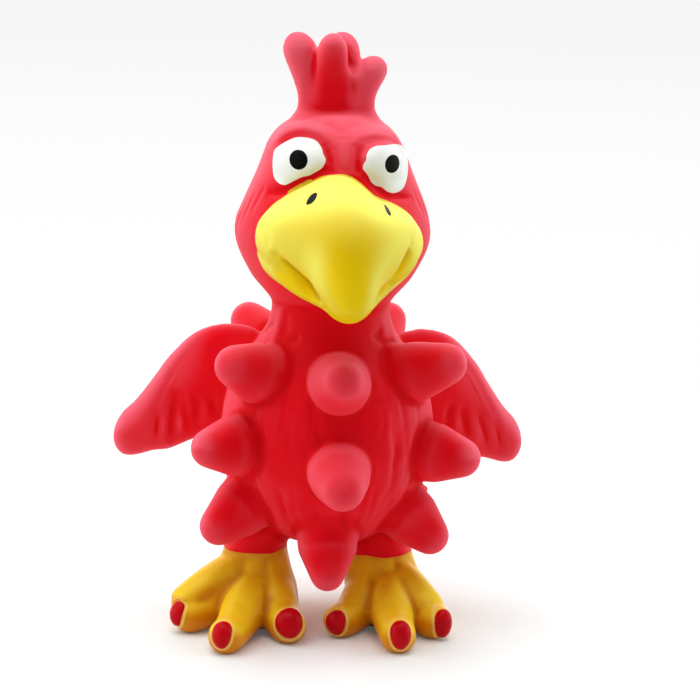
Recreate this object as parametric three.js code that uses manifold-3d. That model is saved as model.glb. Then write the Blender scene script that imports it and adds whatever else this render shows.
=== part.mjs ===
// A squeaky dog toy: a moulded latex rooster with a round, spiked body.
// The one latex moulding is divided at its natural regions (ball, spikes, head, comb, beak,
// wings, legs, feet). The painted eyes, nostrils and toenails are thin pieces of their own.
// Inside lie the polyester fibre filling and a plastic reed squeaker, pressed into a hole
// low on the back. Millimetres and degrees, +Z up. The toy faces -Y and its left is +X.
// The origin is on the floor, under the middle of the toy's bounding box.
import * as THREE from "three";
import { mergeVertices } from "three/addons/utils/BufferGeometryUtils.js";
import Module from "manifold-3d";

const wasm = await Module();
wasm.setup();

// Driving dimensions

const GAP = 0.3; // between pieces that touch
const WALL = 2.2; // of the hollow latex
const OVERRUN = 5; // how far a cutting shape runs past what it cuts

// Ball of the body: round, with shoulders that rise into the neck
const BALL_R = 28.2;
const BALL_Z = 50; // height of its widest place
const BALL_BOTTOM_Z = 20.8;
const SHOULDER_RISE = 24; // how slowly the shoulder leaves the ball's widest place
const NECK_RISE = 13; // how long the neck stays straight under its ring
const NECK_R = 15.4;
const NECK_Z = 86.5; // the ring where body and head part
const NECK_TURN_Z = 79; // the neck bends about this height
const NECK_FACE = 4.5; // height of the ball-shaped face under the ring
const THROAT_R = 10.5; // the filling passes through here

// Spikes
const SPIKE_LENGTH = 15;
const SPIKE_TIP_R = 4.4;
const SPIKE_BASE_R = 7.9;
const SPIKE_FOOT_R = 9.8;
const SPIKE_FLARE_HEIGHT = 3.6;
const SPIKE_SINK = 3; // how deep the foot of a spike reaches into the ball

// Head
const JOWL_R = 21.8;
const JOWL_Z = 95;
const CHEEK_R = 25.6;
const CHEEK_Z = 106;
const TEMPLE_R = 21.4;
const TEMPLE_Z = 120;
const CROWN_R = 14.4;
const CROWN_Z = 132.4;
const HEAD_TOP_Z = 138.6;

// Brows over the eyes
const BROW_R = 3.6;
const BROW_END_R = 2.4;
const BROW_LENGTH = 19;
const BROW_Z = 133;
const BROW_SLOPE = 3; // the inner end lies this much lower
const BROW_SINK = 2.2; // how deep the brow lies in the head

// Comb: a stem on the crown that splits into lobes
const COMB_STEM_R = 9.8;
const COMB_STEM_DEPTH_R = 6.4;
const COMB_STEM_Z = 130;
const COMB_SPLIT_Z = 144;
const COMB_TOP_Z = 157;
const LOBE_R = 4.5;

// Beak
const BEAK_R = 20.8;
const BEAK_HEIGHT_R = 14.2;
const BEAK_ROOT_Y = -9;
const BEAK_ROOT_Z = 109.5;
const BEAK_LENGTH = 37;
const BEAK_DROP = 19;
const BEAK_TIP_R = 3.4;
const JAW_R = 20.2;
const JAW_HEIGHT_R = 7.4;
const JAW_ROOT_Y = -8;
const JAW_ROOT_Z = 102;
const JAW_LENGTH = 31;
const JAW_DROP = 12.5;
const NOSTRIL_X = 9.2;
const NOSTRIL_Z = 117;
const NOSTRIL_LENGTH = 3.2;
const NOSTRIL_WIDTH = 1.4;
const NOSTRIL_SLANT = 40;

// Eyes
const COAT = 0.5; // thickness of a painted patch
const EYE_AZIMUTH = 36;
const EYE_TILT = 14; // the eye looks up by this angle
const EYE_Z = 124.8;
const EYE_WIDTH_R = 8;
const EYE_HEIGHT_R = 7;
const EYE_DEPTH_R = 5.4;
const EYE_BULGE = 2.2; // how far the eye stands out of the head
const PUPIL_R = 2.5;

// Wings
const WING_AZIMUTH = 107;
const WING_SWEEP = 16; // how far the blade points back
const WING_ROOT_Z = 65;
const WING_HINGE_R = 4;
const WING_HINGE_LENGTH = 22;
const WING_SPAN = 29;
const WING_DROP = 20.5;
const WING_CHORD_R = 14.6;
const WING_THICKNESS_R = 4;

// Legs and feet
const LEG_X = 16.8;
const LEG_TOP_R = 11;
const LEG_TOP_Z = 33;
const ANKLE_R = 8.2;
const ANKLE_Z = 20.2;
const INSTEP_R = 9.4;
const INSTEP_Z = 9.4;
const TOE_R = 5.4;
const TOE_ROOT_R = 7.4;
const OUTER_TOE = 28; // from the leg's axis to the toe's tip
const MIDDLE_TOE = 34;
const INNER_TOE = 26.4;
const HEEL = 13.5;
const OUTER_TOE_ANGLE = 36;
const MIDDLE_TOE_ANGLE = -1;
const INNER_TOE_ANGLE = -38;
const HEEL_ANGLE = 180;
const RIGHT_FOOT_TURN = 23;
const LEFT_FOOT_TURN = -2;
const SOLE_CUT = 0.5; // the sole is cut flat by this much
const NAIL_WIDTH_R = 2.9;
const NAIL_HEIGHT_R = 3.8;
const NAIL_BULGE = 0.9;
const NAIL_TILT = 22; // the nail looks up by this angle

// Squeaker
const SQUEAKER_LATITUDE = -47; // on the back, seen from the ball's middle
const SQUEAKER_R = 7;
const SQUEAKER_WALL = 1.1;
const SQUEAKER_LENGTH = 13;
const FLANGE_R = 9;
const FLANGE_THICKNESS = 1.4;
const CAP_THICKNESS = 1.6;
const AIR_HOLE_R = 1.5;
const SEAT_R = 2.6;
const SEAT_HEAD_R = 3.8;
const SEAT_HEAD = 1.5;
const SEAT_LENGTH = 7.5;
const CHANNEL_R = 1.2;
const REED_WIDTH = 2.6;
const REED_LENGTH = 6;
const REED_THICKNESS = 0.3;
const REED_LIFT = 0.6; // the reed's free end stands off its seat by this much

// Facets
const BALL_SIDES = 20;
const NECK_SIDES = 28;
const HOLLOW_SIDES = 10;
const SPIKE_SIDES = 8;
const TUBE_SIDES = 16;
const LIMB_SIDES = 10;
const SMALL_LIMB_SIDES = 8;
const EYE_SIDES = 14;
const LIMB_RINGS = 7;
const OUTLINE_STEPS = 5;
const ARC_STEPS = 3;

// Spikes of the ball: azimuth from the front towards the toy's side, height where the spike's
// axis leaves the ball, and how much the axis climbs. Those with a side come in pairs.
const SPIKES = [
  { name: "front_upper_spike", azimuth: 0, heightShare: 0.74, climb: 18 },
  { name: "front_lower_spike", azimuth: 0, heightShare: 0.41, climb: -14 },
  { name: "front_bottom_spike", azimuth: 0, heightShare: 0.09, climb: -62 },
  { name: "side_upper_spike", azimuth: 54, heightShare: 0.745, climb: 18, paired: true },
  { name: "side_middle_spike", azimuth: 64, heightShare: 0.44, climb: -2, paired: true },
  { name: "side_lower_spike", azimuth: 63, heightShare: 0.18, climb: -38, paired: true },
  { name: "back_upper_spike", azimuth: 146, heightShare: 0.765, climb: 36, paired: true },
  { name: "back_middle_spike", azimuth: 128, heightShare: 0.4, climb: -8, paired: true },
  { name: "back_centre_spike", azimuth: 180, heightShare: 0.5, climb: 4 },
];

// Half widths and half heights along the upper beak, as shares of the largest. `out` and
// `down` say how far along the beak's length and down its drop each place lies.
const BEAK_SHARES = [
  { out: 0, down: 0, width: 0.96, height: 0.92 },
  { out: 0.4, down: 0.03, width: 1, height: 1 },
  { out: 0.72, down: 0.2, width: 0.78, height: 0.84 },
  { out: 0.92, down: 0.52, width: 0.42, height: 0.5 },
  { out: 1, down: 1, width: 0.17, height: 0.24 },
];
const JAW_SHARES = [
  { out: 0, down: 0, width: 1, height: 1 },
  { out: 0.45, down: 0.14, width: 1, height: 1 },
  { out: 0.78, down: 0.5, width: 0.62, height: 0.86 },
  { out: 1, down: 1, width: 0.2, height: 0.5 },
];

// The wing's upright sections from its root to its tip: how far out along its span, how far
// down its drop, and their half chord and half thickness, as shares of the largest.
const WING_SHARES = [
  { out: -0.13, down: 0, chord: 0.96, thickness: 0.9 },
  { out: 0.2, down: 0.1, chord: 0.95, thickness: 1 },
  { out: 0.48, down: 0.38, chord: 0.82, thickness: 1 },
  { out: 0.72, down: 0.68, chord: 0.56, thickness: 0.9 },
  { out: 0.93, down: 0.93, chord: 0.3, thickness: 0.75 },
  { out: 1.01, down: 1, chord: 0.14, thickness: 0.5 },
];

// Comb lobes: where each leans from its root to its tip, as shares of the stem's half width,
// its height as a share of the height from the split to the top, and its thickness.
const LOBE_SHARES = [
  { from: [-0.5, 0], to: [-1, 0.05], height: 0.97, size: 1 },
  { from: [-0.1, -0.4], to: [-0.2, -0.6], height: 0.98, size: 1 },
  { from: [0.2, 0.25], to: [0.34, 0.35], height: 1, size: 1.1 },
  { from: [0.6, 0], to: [1.18, -0.1], height: 0.6, size: 0.95 },
  { from: [-0.2, 0.4], to: [-0.4, 0.65], height: 0.62, size: 0.9 },
];

const RIGHT = -1;
const LEFT = 1;
const SIDES = [
  { name: "right", side: RIGHT, turn: RIGHT_FOOT_TURN },
  { name: "left", side: LEFT, turn: LEFT_FOOT_TURN },
];
const TOES = [
  { name: "outer", angle: OUTER_TOE_ANGLE, length: OUTER_TOE },
  { name: "middle", angle: MIDDLE_TOE_ANGLE, length: MIDDLE_TOE },
  { name: "inner", angle: INNER_TOE_ANGLE, length: INNER_TOE },
];

// Materials

const finish = (color, roughness) => new THREE.MeshStandardMaterial({ color, roughness, metalness: 0 });
const latexRed = finish(0xd92133, 0.6);
const paintYellow = finish(0xf4d21f, 0.35);
const paintWhite = finish(0xf2f2ea, 0.4);
const paintBlack = finish(0x111010, 0.3);
const paintNail = finish(0xb50d20, 0.2);
const whitePlastic = finish(0xf3f3f0, 0.4);
const clearPlastic = finish(0xd8e4ec, 0.3);
const fibre = finish(0xf5f5f2, 1);

// Tools for shapes

const { degToRad: radians, clamp } = THREE.MathUtils;
const vec = (x, y, z) => new THREE.Vector3(x, y, z);
const flat = (x, y) => new THREE.Vector2(x, y);
const UP = vec(0, 0, 1);

// A closed geometry as a solid that can be cut and joined.
function solid(geometry) {
  geometry.deleteAttribute("normal");
  geometry.deleteAttribute("uv");
  const merged = mergeVertices(geometry);
  const vertProperties = new Float32Array(merged.attributes.position.array);
  const triVerts = new Uint32Array(merged.index.array);
  return new wasm.Manifold(new wasm.Mesh({ numProp: 3, vertProperties, triVerts }));
}

// A solid as a named mesh.
function piece(name, shape, material) {
  const { vertProperties, triVerts } = shape.getMesh();
  const geometry = new THREE.BufferGeometry();
  geometry.setAttribute("position", new THREE.BufferAttribute(vertProperties, 3));
  geometry.setIndex(new THREE.BufferAttribute(triVerts, 1));
  geometry.computeVertexNormals();
  const mesh = new THREE.Mesh(geometry, material);
  mesh.name = name;
  return mesh;
}

const joined = (shapes) => shapes.reduce((whole, shape) => whole.add(shape));
const placed = (shape, frame) => shape.transform([...frame.elements]);

// Solid of revolution about Z. Its outline runs from the lower end up: x is the radius and
// y the height.
const turned = (outline, sides) => solid(new THREE.LatheGeometry(outline, sides).rotateX(Math.PI / 2));

// A round bar about Z.
function bar(radius, bottom, top, sides = TUBE_SIDES) {
  return turned([flat(0, bottom), flat(radius, bottom), flat(radius, top), flat(0, top)], sides);
}

const block = (width, depth, height) => solid(new THREE.BoxGeometry(width, depth, height));

function ball(halves, sides = LIMB_SIDES) {
  return solid(new THREE.SphereGeometry(1, sides, sides / 2).rotateX(Math.PI / 2).scale(...halves));
}

// An outline moved outwards along its normals, or inwards where the distance is negative.
function offset(outline, distance) {
  return outline.map((point, i) => {
    const before = outline[Math.max(i - 1, 0)];
    const after = outline[Math.min(i + 1, outline.length - 1)];
    const way = after.clone().sub(before).normalize();
    const radius = point.x === 0 ? 0 : Math.max(point.x + distance * way.y, 0);
    return flat(radius, point.y - distance * way.x);
  });
}

// A value that runs smoothly through a list of evenly spaced ones, at t from 0 to 1.
function smooth(values, t) {
  const curve = new THREE.SplineCurve(values.map((value, i) => flat(i, value)));
  return curve.getPoint(t).y;
}

// The share of its width that a limb has at a distance from its rounded end.
function rounding(distance, endRadius) {
  const u = clamp(1 - distance / endRadius, 0, 1);
  return Math.sqrt(1 - u * u);
}

// A limb that swells and tapers: a unit sphere laid along a curved spine. `across` is the
// direction of the half widths. The half depths are square to it and to the spine, or run
// along `upright` where that is given.
function limb({ spine, across, upright, widths, depths, ends, grow = 0, sides = LIMB_SIDES }) {
  const curve = new THREE.CatmullRomCurve3(spine);
  const length = curve.getLength();
  const sphere = new THREE.SphereGeometry(1, sides, LIMB_RINGS);
  const places = sphere.attributes.position;
  for (let i = 0; i < places.count; i++) {
    const place = vec(0, 0, 0).fromBufferAttribute(places, i);
    const t = clamp((1 - place.y) / 2, 0, 1);
    const turn = Math.hypot(place.x, place.z) || 1;
    const round = Math.min(rounding(t * length, ends[0]), rounding((1 - t) * length, ends[1]));
    const tangent = curve.getTangent(t);
    const side = across.clone().addScaledVector(tangent, -across.dot(tangent)).normalize();
    const other = upright ?? vec(0, 0, 0).crossVectors(tangent, side);
    const point = curve.getPoint(t).addScaledVector(tangent, -place.y * grow);
    point.addScaledVector(side, (place.x / turn) * (smooth(widths, t) + grow) * round);
    point.addScaledVector(other, (place.z / turn) * (smooth(depths, t) + grow) * round);
    places.setXYZ(i, ...point);
  }
  return solid(sphere);
}

// Ball of the body

const ballRise = BALL_Z - BALL_BOTTOM_Z;

// The outline of the body up to the neck's ring.
function bodyOutline() {
  const path = new THREE.Path();
  path.absellipse(0, BALL_Z, BALL_R, ballRise, -Math.PI / 2, 0);
  path.bezierCurveTo(BALL_R, BALL_Z + SHOULDER_RISE, NECK_R, NECK_Z - NECK_RISE, NECK_R, NECK_Z);
  const points = path.getPoints(OUTLINE_STEPS);
  points[0].x = 0;
  return points;
}

const bodyLine = bodyOutline();

// Radius of the body's surface at a height.
function bodyRadius(z) {
  const i = bodyLine.findIndex((point) => point.y >= z);
  const [below, above] = [bodyLine[i - 1], bodyLine[i]];
  return THREE.MathUtils.mapLinear(z, below.y, above.y, below.x, above.x);
}

// The neck's two faces are parts of one sphere about the point that it bends about.
const neckBallR = Math.hypot(NECK_R, NECK_Z - NECK_TURN_Z);
function neckBall(grow) {
  const radius = neckBallR + grow;
  return ball([radius, radius, radius], NECK_SIDES).translate([0, 0, NECK_TURN_Z]);
}
const neckTop = NECK_TURN_Z + neckBallR + OVERRUN;

function bodyForm(grow) {
  const outline = offset(bodyLine, grow);
  return turned([...outline, flat(NECK_R + grow, neckTop), flat(0, neckTop)], BALL_SIDES);
}

// What belongs to the body stays inside the neck's ball from its face upwards.
function underNeck(shape) {
  const height = 2 * neckBallR;
  const above = block(height * 2, height * 2, height).translate([0, 0, NECK_Z - NECK_FACE + height / 2]);
  return shape.subtract(above.subtract(neckBall(0)));
}

// The hollow inside the body, smaller by a clearance where the filling has to fit in it.
function bodyHollow(clearance) {
  const inner = offset(bodyLine, -WALL - clearance).filter((point) => point.y < NECK_TURN_Z);
  const throat = THROAT_R - clearance;
  const passage = [flat(throat, NECK_Z - NECK_FACE), flat(throat, neckTop), flat(0, neckTop)];
  return turned([...inner, ...passage], HOLLOW_SIDES);
}

// Squeaker's place. In its own frame +Z points out of the body, and the origin lies on the
// outer face of the seat that the flange rests on.
const squeakerTurn = radians(SQUEAKER_LATITUDE);
const squeakerPlace = vec(0, BALL_R * Math.cos(squeakerTurn), BALL_Z + ballRise * Math.sin(squeakerTurn));
const squeakerOut = vec(0, Math.cos(squeakerTurn) / BALL_R, Math.sin(squeakerTurn) / ballRise).normalize();
const squeakerWay = new THREE.Quaternion().setFromUnitVectors(UP, squeakerOut);
const squeakerFrame = new THREE.Matrix4().compose(squeakerPlace, squeakerWay, vec(1, 1, 1));
const holeR = SQUEAKER_R + GAP;
const squeakerSeat = placed(bar(FLANGE_R + WALL / 2, -WALL, 0), squeakerFrame);
const squeakerHole = placed(bar(holeR, -SQUEAKER_LENGTH - GAP, OVERRUN), squeakerFrame);

function bodySkin() {
  const skin = underNeck(bodyForm(0)).add(squeakerSeat);
  return skin.subtract(bodyHollow(0)).subtract(squeakerHole);
}

const bodyFilling = () => underNeck(bodyHollow(GAP)).subtract(squeakerHole);

// Spikes

// One spike along +Z, whose origin is where its axis leaves the ball.
function spikeForm(grow) {
  const tipZ = SPIKE_LENGTH - SPIKE_TIP_R;
  const lean = Math.asin((SPIKE_BASE_R - SPIKE_TIP_R) / (tipZ - SPIKE_FLARE_HEIGHT));
  const path = new THREE.Path();
  path.moveTo(0, -SPIKE_SINK);
  path.lineTo(SPIKE_FOOT_R, -SPIKE_SINK);
  path.quadraticCurveTo(SPIKE_BASE_R, -SPIKE_SINK / 2, SPIKE_BASE_R, SPIKE_FLARE_HEIGHT);
  path.absarc(0, tipZ, SPIKE_TIP_R, lean, Math.PI / 2);
  const points = path.getPoints(ARC_STEPS);
  points[points.length - 1].x = 0;
  return turned(offset(points, grow), SPIKE_SIDES);
}

function spikeFrame(azimuth, height, climb) {
  const outward = vec(0, -1, 0).applyAxisAngle(UP, radians(azimuth));
  const axis = outward.clone().multiplyScalar(Math.cos(radians(climb)));
  axis.z = Math.sin(radians(climb));
  const foot = outward.multiplyScalar(bodyRadius(height)).setZ(height);
  const turn = new THREE.Quaternion().setFromUnitVectors(UP, axis);
  return new THREE.Matrix4().compose(foot, turn, vec(1, 1, 1));
}

// Every spike's name, and its shape before anything is cut out of it, larger by `grow`.
function spikes() {
  return SPIKES.flatMap(({ name, azimuth, heightShare, climb, paired }) => {
    const height = THREE.MathUtils.lerp(BALL_BOTTOM_Z, NECK_Z, heightShare);
    const spike = (turn) => (grow) => placed(spikeForm(grow), spikeFrame(turn, height, climb));
    if (!paired) return [{ name, shape: spike(azimuth) }];
    return SIDES.map(({ name: sideName, side }) => ({
      name: `${sideName}_${name}`,
      shape: spike(side * azimuth),
    }));
  });
}

// Legs and feet

function legForm(side, grow) {
  const bottom = ANKLE_Z + GAP / 2 - grow;
  const top = LEG_TOP_Z + grow;
  const outline = [flat(0, bottom), flat(ANKLE_R + grow, bottom), flat(LEG_TOP_R + grow, top), flat(0, top)];
  return turned(outline, TUBE_SIDES).translate([side * LEG_X, 0, 0]);
}

// Direction of a toe, seen from above.
const toeWay = (foot, angle) => vec(0, -1, 0).applyAxisAngle(UP, foot.side * radians(foot.turn + angle));

function toeForm(foot, angle, length, grow) {
  const way = toeWay(foot, angle);
  const reach = length - TOE_R / 2;
  const at = (distance, z) => vec(foot.side * LEG_X, 0, z).addScaledVector(way, distance);
  const lowZ = TOE_R - SOLE_CUT;
  return limb({
    spine: [at(0, INSTEP_Z), at(reach / 3, TOE_ROOT_R), at((2 * reach) / 3, lowZ), at(length, lowZ)],
    across: vec(way.y, -way.x, 0),
    widths: [TOE_ROOT_R, TOE_ROOT_R, TOE_R, TOE_R],
    depths: [TOE_ROOT_R, TOE_ROOT_R, TOE_R, TOE_R],
    ends: [TOE_ROOT_R, TOE_R],
    sides: SMALL_LIMB_SIDES,
    grow,
  });
}

function footForm(foot, grow) {
  const top = ANKLE_Z - GAP / 2;
  const path = new THREE.Path();
  path.moveTo(0, -SOLE_CUT);
  path.lineTo(INSTEP_R + grow, -SOLE_CUT);
  path.lineTo(INSTEP_R + grow, INSTEP_Z);
  path.quadraticCurveTo(ANKLE_R + grow, INSTEP_Z, ANKLE_R + grow, top + grow);
  path.lineTo(0, top + grow);
  const instep = turned(path.getPoints(ARC_STEPS), TUBE_SIDES).translate([foot.side * LEG_X, 0, 0]);
  const toes = TOES.map(({ angle, length }) => toeForm(foot, angle, length, grow));
  const heel = toeForm(foot, HEEL_ANGLE, HEEL, grow);
  const span = 2 * (LEG_X + MIDDLE_TOE + OVERRUN);
  const floor = block(span, span, OVERRUN).translate([0, 0, -OVERRUN / 2]);
  return joined([instep, heel, ...toes]).subtract(floor);
}

// A toenail: a dome on the front of a toe's tip.
function nailForm(foot, { angle, length }) {
  const way = toeWay(foot, angle);
  const look = way.clone().multiplyScalar(Math.cos(radians(NAIL_TILT)));
  look.z = Math.sin(radians(NAIL_TILT));
  const across = vec(0, 0, 0).crossVectors(UP, look).normalize();
  const frame = new THREE.Matrix4().makeBasis(across, vec(0, 0, 0).crossVectors(look, across), look);
  const middle = vec(foot.side * LEG_X, 0, TOE_R - SOLE_CUT).addScaledVector(way, length - TOE_R);
  frame.setPosition(middle.addScaledVector(look, TOE_R / 2));
  return placed(ball([NAIL_WIDTH_R, NAIL_HEIGHT_R, TOE_R / 2 + NAIL_BULGE]), frame);
}

// Head

function headOutline() {
  const curve = new THREE.SplineCurve([
    flat(NECK_R, NECK_TURN_Z),
    flat(NECK_R, NECK_Z),
    flat(JOWL_R, JOWL_Z),
    flat(CHEEK_R, CHEEK_Z),
    flat(TEMPLE_R, TEMPLE_Z),
    flat(CROWN_R, CROWN_Z),
    flat(0, HEAD_TOP_Z),
  ]);
  return curve.getPoints(2 * OUTLINE_STEPS);
}

const headLine = headOutline();
const headForm = (grow) => turned([flat(0, NECK_TURN_Z), ...offset(headLine, grow)], BALL_SIDES);

// Radius of the head's surface at a height.
function headRadius(z) {
  const i = headLine.findIndex((point) => point.y >= z);
  const [below, above] = [headLine[i - 1], headLine[i]];
  return THREE.MathUtils.mapLinear(z, below.y, above.y, below.x, above.x);
}

function headHollow(clearance) {
  const throat = THROAT_R - clearance;
  const inner = offset(headLine, -WALL - clearance).filter((point) => point.y > NECK_Z + WALL);
  const entry = [flat(0, NECK_TURN_Z), flat(throat, NECK_TURN_Z), flat(throat, NECK_Z)];
  return turned([...entry, ...inner], HOLLOW_SIDES);
}

function browForm(side) {
  const halfSpan = BROW_LENGTH / 2;
  const at = (x, z) => {
    const reach = headRadius(z) - BROW_SINK;
    return vec(side * x, -Math.sqrt(Math.max(reach ** 2 - x ** 2, 0)), z);
  };
  return limb({
    spine: [
      at(BROW_END_R, BROW_Z - BROW_SLOPE),
      at(BROW_END_R + halfSpan / 2, BROW_Z),
      at(BROW_END_R + halfSpan, BROW_Z - BROW_SLOPE / 2),
    ],
    across: UP,
    widths: [BROW_END_R, BROW_R, BROW_END_R],
    depths: [BROW_END_R, BROW_R, BROW_END_R],
    ends: [BROW_END_R, BROW_END_R],
  });
}

// Frame on the head's surface at the eye, with +Z looking out of it and +Y up.
function eyeFrame(side) {
  const azimuth = side * radians(EYE_AZIMUTH);
  const outward = vec(0, -1, 0).applyAxisAngle(UP, azimuth);
  const turn = new THREE.Matrix4().makeRotationZ(azimuth);
  turn.multiply(new THREE.Matrix4().makeRotationX(Math.PI / 2 - radians(EYE_TILT)));
  return turn.setPosition(outward.multiplyScalar(headRadius(EYE_Z)).setZ(EYE_Z));
}

// The eye in its own frame.
function eyeForm(grow) {
  const halves = [EYE_WIDTH_R + grow, EYE_HEIGHT_R + grow, EYE_DEPTH_R + grow];
  return ball(halves, EYE_SIDES).translate([0, 0, EYE_BULGE - EYE_DEPTH_R]);
}

function pupilForm() {
  const coat = eyeForm(GAP + COAT).subtract(eyeForm(GAP));
  return coat.intersect(bar(PUPIL_R, 0, EYE_DEPTH_R, LIMB_SIDES));
}

// Beak

function beakLimb(table, { rootY, rootZ, length, drop, widthR, heightR, tipR }, grow) {
  return limb({
    spine: table.map(({ out, down }) => vec(0, rootY - length * out, rootZ - drop * down)),
    across: vec(1, 0, 0),
    widths: table.map(({ width }) => widthR * width),
    depths: table.map(({ height }) => heightR * height),
    ends: [heightR / 2, tipR],
    grow,
  });
}

const upperBeakForm = (grow) =>
  beakLimb(
    BEAK_SHARES,
    {
      rootY: BEAK_ROOT_Y,
      rootZ: BEAK_ROOT_Z,
      length: BEAK_LENGTH,
      drop: BEAK_DROP,
      widthR: BEAK_R,
      heightR: BEAK_HEIGHT_R,
      tipR: BEAK_TIP_R,
    },
    grow,
  );

const lowerBeakForm = () =>
  beakLimb(
    JAW_SHARES,
    {
      rootY: JAW_ROOT_Y,
      rootZ: JAW_ROOT_Z,
      length: JAW_LENGTH,
      drop: JAW_DROP,
      widthR: JAW_R,
      heightR: JAW_HEIGHT_R,
      tipR: BEAK_TIP_R,
    },
    0,
  );

// A nostril: a slanted slit of paint on the front of the upper beak.
function nostrilForm(side) {
  const slit = ball([NOSTRIL_LENGTH / 2, BEAK_LENGTH / 2, NOSTRIL_WIDTH / 2])
    .rotate([0, side * NOSTRIL_SLANT, 0])
    .translate([side * NOSTRIL_X, BEAK_ROOT_Y - BEAK_LENGTH, NOSTRIL_Z]);
  const coat = upperBeakForm(GAP + COAT).subtract(upperBeakForm(GAP));
  return coat.intersect(slit);
}

// Comb

function combForm() {
  const stem = limb({
    spine: [vec(0, 0, COMB_STEM_Z), vec(0, 0, COMB_SPLIT_Z + LOBE_R)],
    across: vec(1, 0, 0),
    widths: [COMB_STEM_R, COMB_STEM_R],
    depths: [COMB_STEM_DEPTH_R, COMB_STEM_DEPTH_R],
    ends: [LOBE_R, LOBE_R],
  });
  const lobes = LOBE_SHARES.map(({ from, to, height, size }) => {
    const at = ([x, y], z) => vec(x * COMB_STEM_R, y * COMB_STEM_R, z);
    const topZ = COMB_SPLIT_Z + (COMB_TOP_Z - COMB_SPLIT_Z) * height;
    const radius = LOBE_R * size;
    return limb({
      spine: [at(from, COMB_STEM_Z), at(from, COMB_SPLIT_Z), at(to, topZ)],
      across: vec(1, 0, 0),
      widths: [radius, radius, radius],
      depths: [radius, radius, radius],
      ends: [radius, radius],
      sides: SMALL_LIMB_SIDES,
    });
  });
  return joined([stem, ...lobes]);
}

// Wings

// The side of the ball slopes at the wing's root, and the hinge line follows it.
const wingSlope = Math.atan2(
  bodyRadius(WING_ROOT_Z - WING_HINGE_LENGTH / 2) - bodyRadius(WING_ROOT_Z + WING_HINGE_LENGTH / 2),
  WING_HINGE_LENGTH,
);

// In the wing's frame +X points outwards along the blade and the origin is on the hinge line.
function wingFrame(side) {
  const outward = vec(0, -1, 0).applyAxisAngle(UP, side * radians(WING_AZIMUTH));
  const reach = bodyRadius(WING_ROOT_Z) + (WING_HINGE_R + GAP) / Math.cos(wingSlope);
  return new THREE.Matrix4()
    .makeRotationZ(side * radians(WING_SWEEP))
    .setPosition(outward.multiplyScalar(reach).setZ(WING_ROOT_Z));
}

function wingForm(side) {
  const blade = limb({
    spine: WING_SHARES.map(({ out, down }) => vec(side * WING_SPAN * out, 0, -WING_DROP * down)),
    across: vec(0, 1, 0),
    upright: vec(0, 0, side),
    widths: WING_SHARES.map(({ thickness }) => WING_THICKNESS_R * thickness),
    depths: WING_SHARES.map(({ chord }) => WING_CHORD_R * chord),
    ends: [WING_THICKNESS_R, WING_THICKNESS_R],
  });
  const hinge = limb({
    spine: [vec(0, 0, -WING_HINGE_LENGTH / 2), vec(0, 0, WING_HINGE_LENGTH / 2)],
    across: vec(1, 0, 0),
    widths: [WING_HINGE_R, WING_HINGE_R],
    depths: [WING_HINGE_R, WING_HINGE_R],
    ends: [WING_HINGE_R, WING_HINGE_R],
    sides: SMALL_LIMB_SIDES,
  });
  const span = 2 * WING_SPAN + OVERRUN;
  const inner = block(span, span, span).translate([(-side * span) / 2, 0, 0]);
  const slope = new THREE.Matrix4().makeRotationY(-side * wingSlope);
  return blade.subtract(placed(inner, slope)).add(placed(hinge, slope));
}

// Squeaker, in its own frame

const squeakerBottom = -SQUEAKER_LENGTH;

function squeakerHousing() {
  const cup = bar(SQUEAKER_R, squeakerBottom, GAP + FLANGE_THICKNESS);
  const flange = bar(FLANGE_R, GAP, GAP + FLANGE_THICKNESS);
  const inside = bar(SQUEAKER_R - SQUEAKER_WALL, squeakerBottom + SQUEAKER_WALL, OVERRUN);
  return cup.add(flange).subtract(inside).subtract(bar(SEAT_R + GAP, squeakerBottom - OVERRUN, OVERRUN));
}

function squeakerCap() {
  const top = GAP + FLANGE_THICKNESS;
  const disc = bar(SQUEAKER_R - SQUEAKER_WALL - GAP, top - CAP_THICKNESS, top);
  return disc.subtract(bar(AIR_HOLE_R, top - OVERRUN, OVERRUN));
}

// The reed's seat: a plug through the housing's floor, half of it cut away along its length
// down to the channel that the reed lies over.
const seatFloor = squeakerBottom + SQUEAKER_WALL + GAP;
const seatShoulder = seatFloor + SEAT_HEAD;
const seatTop = seatShoulder + SEAT_LENGTH;

function reedSeat() {
  const plug = bar(SEAT_R, squeakerBottom, seatTop);
  const head = bar(SEAT_HEAD_R, seatFloor, seatShoulder);
  const half = block(2 * SEAT_HEAD_R, SEAT_HEAD_R, 2 * SEAT_LENGTH);
  const away = half.translate([0, SEAT_HEAD_R / 2, seatShoulder + SEAT_LENGTH]);
  const channel = bar(CHANNEL_R, squeakerBottom - OVERRUN, seatTop - CHANNEL_R, LIMB_SIDES);
  return plug.add(head).subtract(away).subtract(channel);
}

function squeakerReed() {
  const tilt = -Math.atan2(REED_LIFT, REED_LENGTH);
  const strip = block(REED_WIDTH, REED_THICKNESS, REED_LENGTH);
  const lying = strip.translate([0, REED_THICKNESS / 2, REED_LENGTH / 2]);
  const turn = new THREE.Matrix4().makeRotationX(tilt).setPosition(0, GAP, seatShoulder + GAP);
  return placed(lying, turn);
}

// The toy

const toy = new THREE.Group();
const moulding = new THREE.Group();
toy.add(moulding);

const bodyCut = bodyForm(GAP);
moulding.add(piece("body_skin", bodySkin(), latexRed));
moulding.add(piece("body_filling", bodyFilling(), fibre));

const legsCut = joined(SIDES.map(({ side }) => legForm(side, GAP)));
// Each spike stops at the ball, at the legs and at the spikes before it.
spikes().reduce((before, { name, shape }) => {
  moulding.add(piece(name, shape(0).subtract(before), latexRed));
  return before.add(shape(GAP));
}, bodyCut.add(legsCut));

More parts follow.
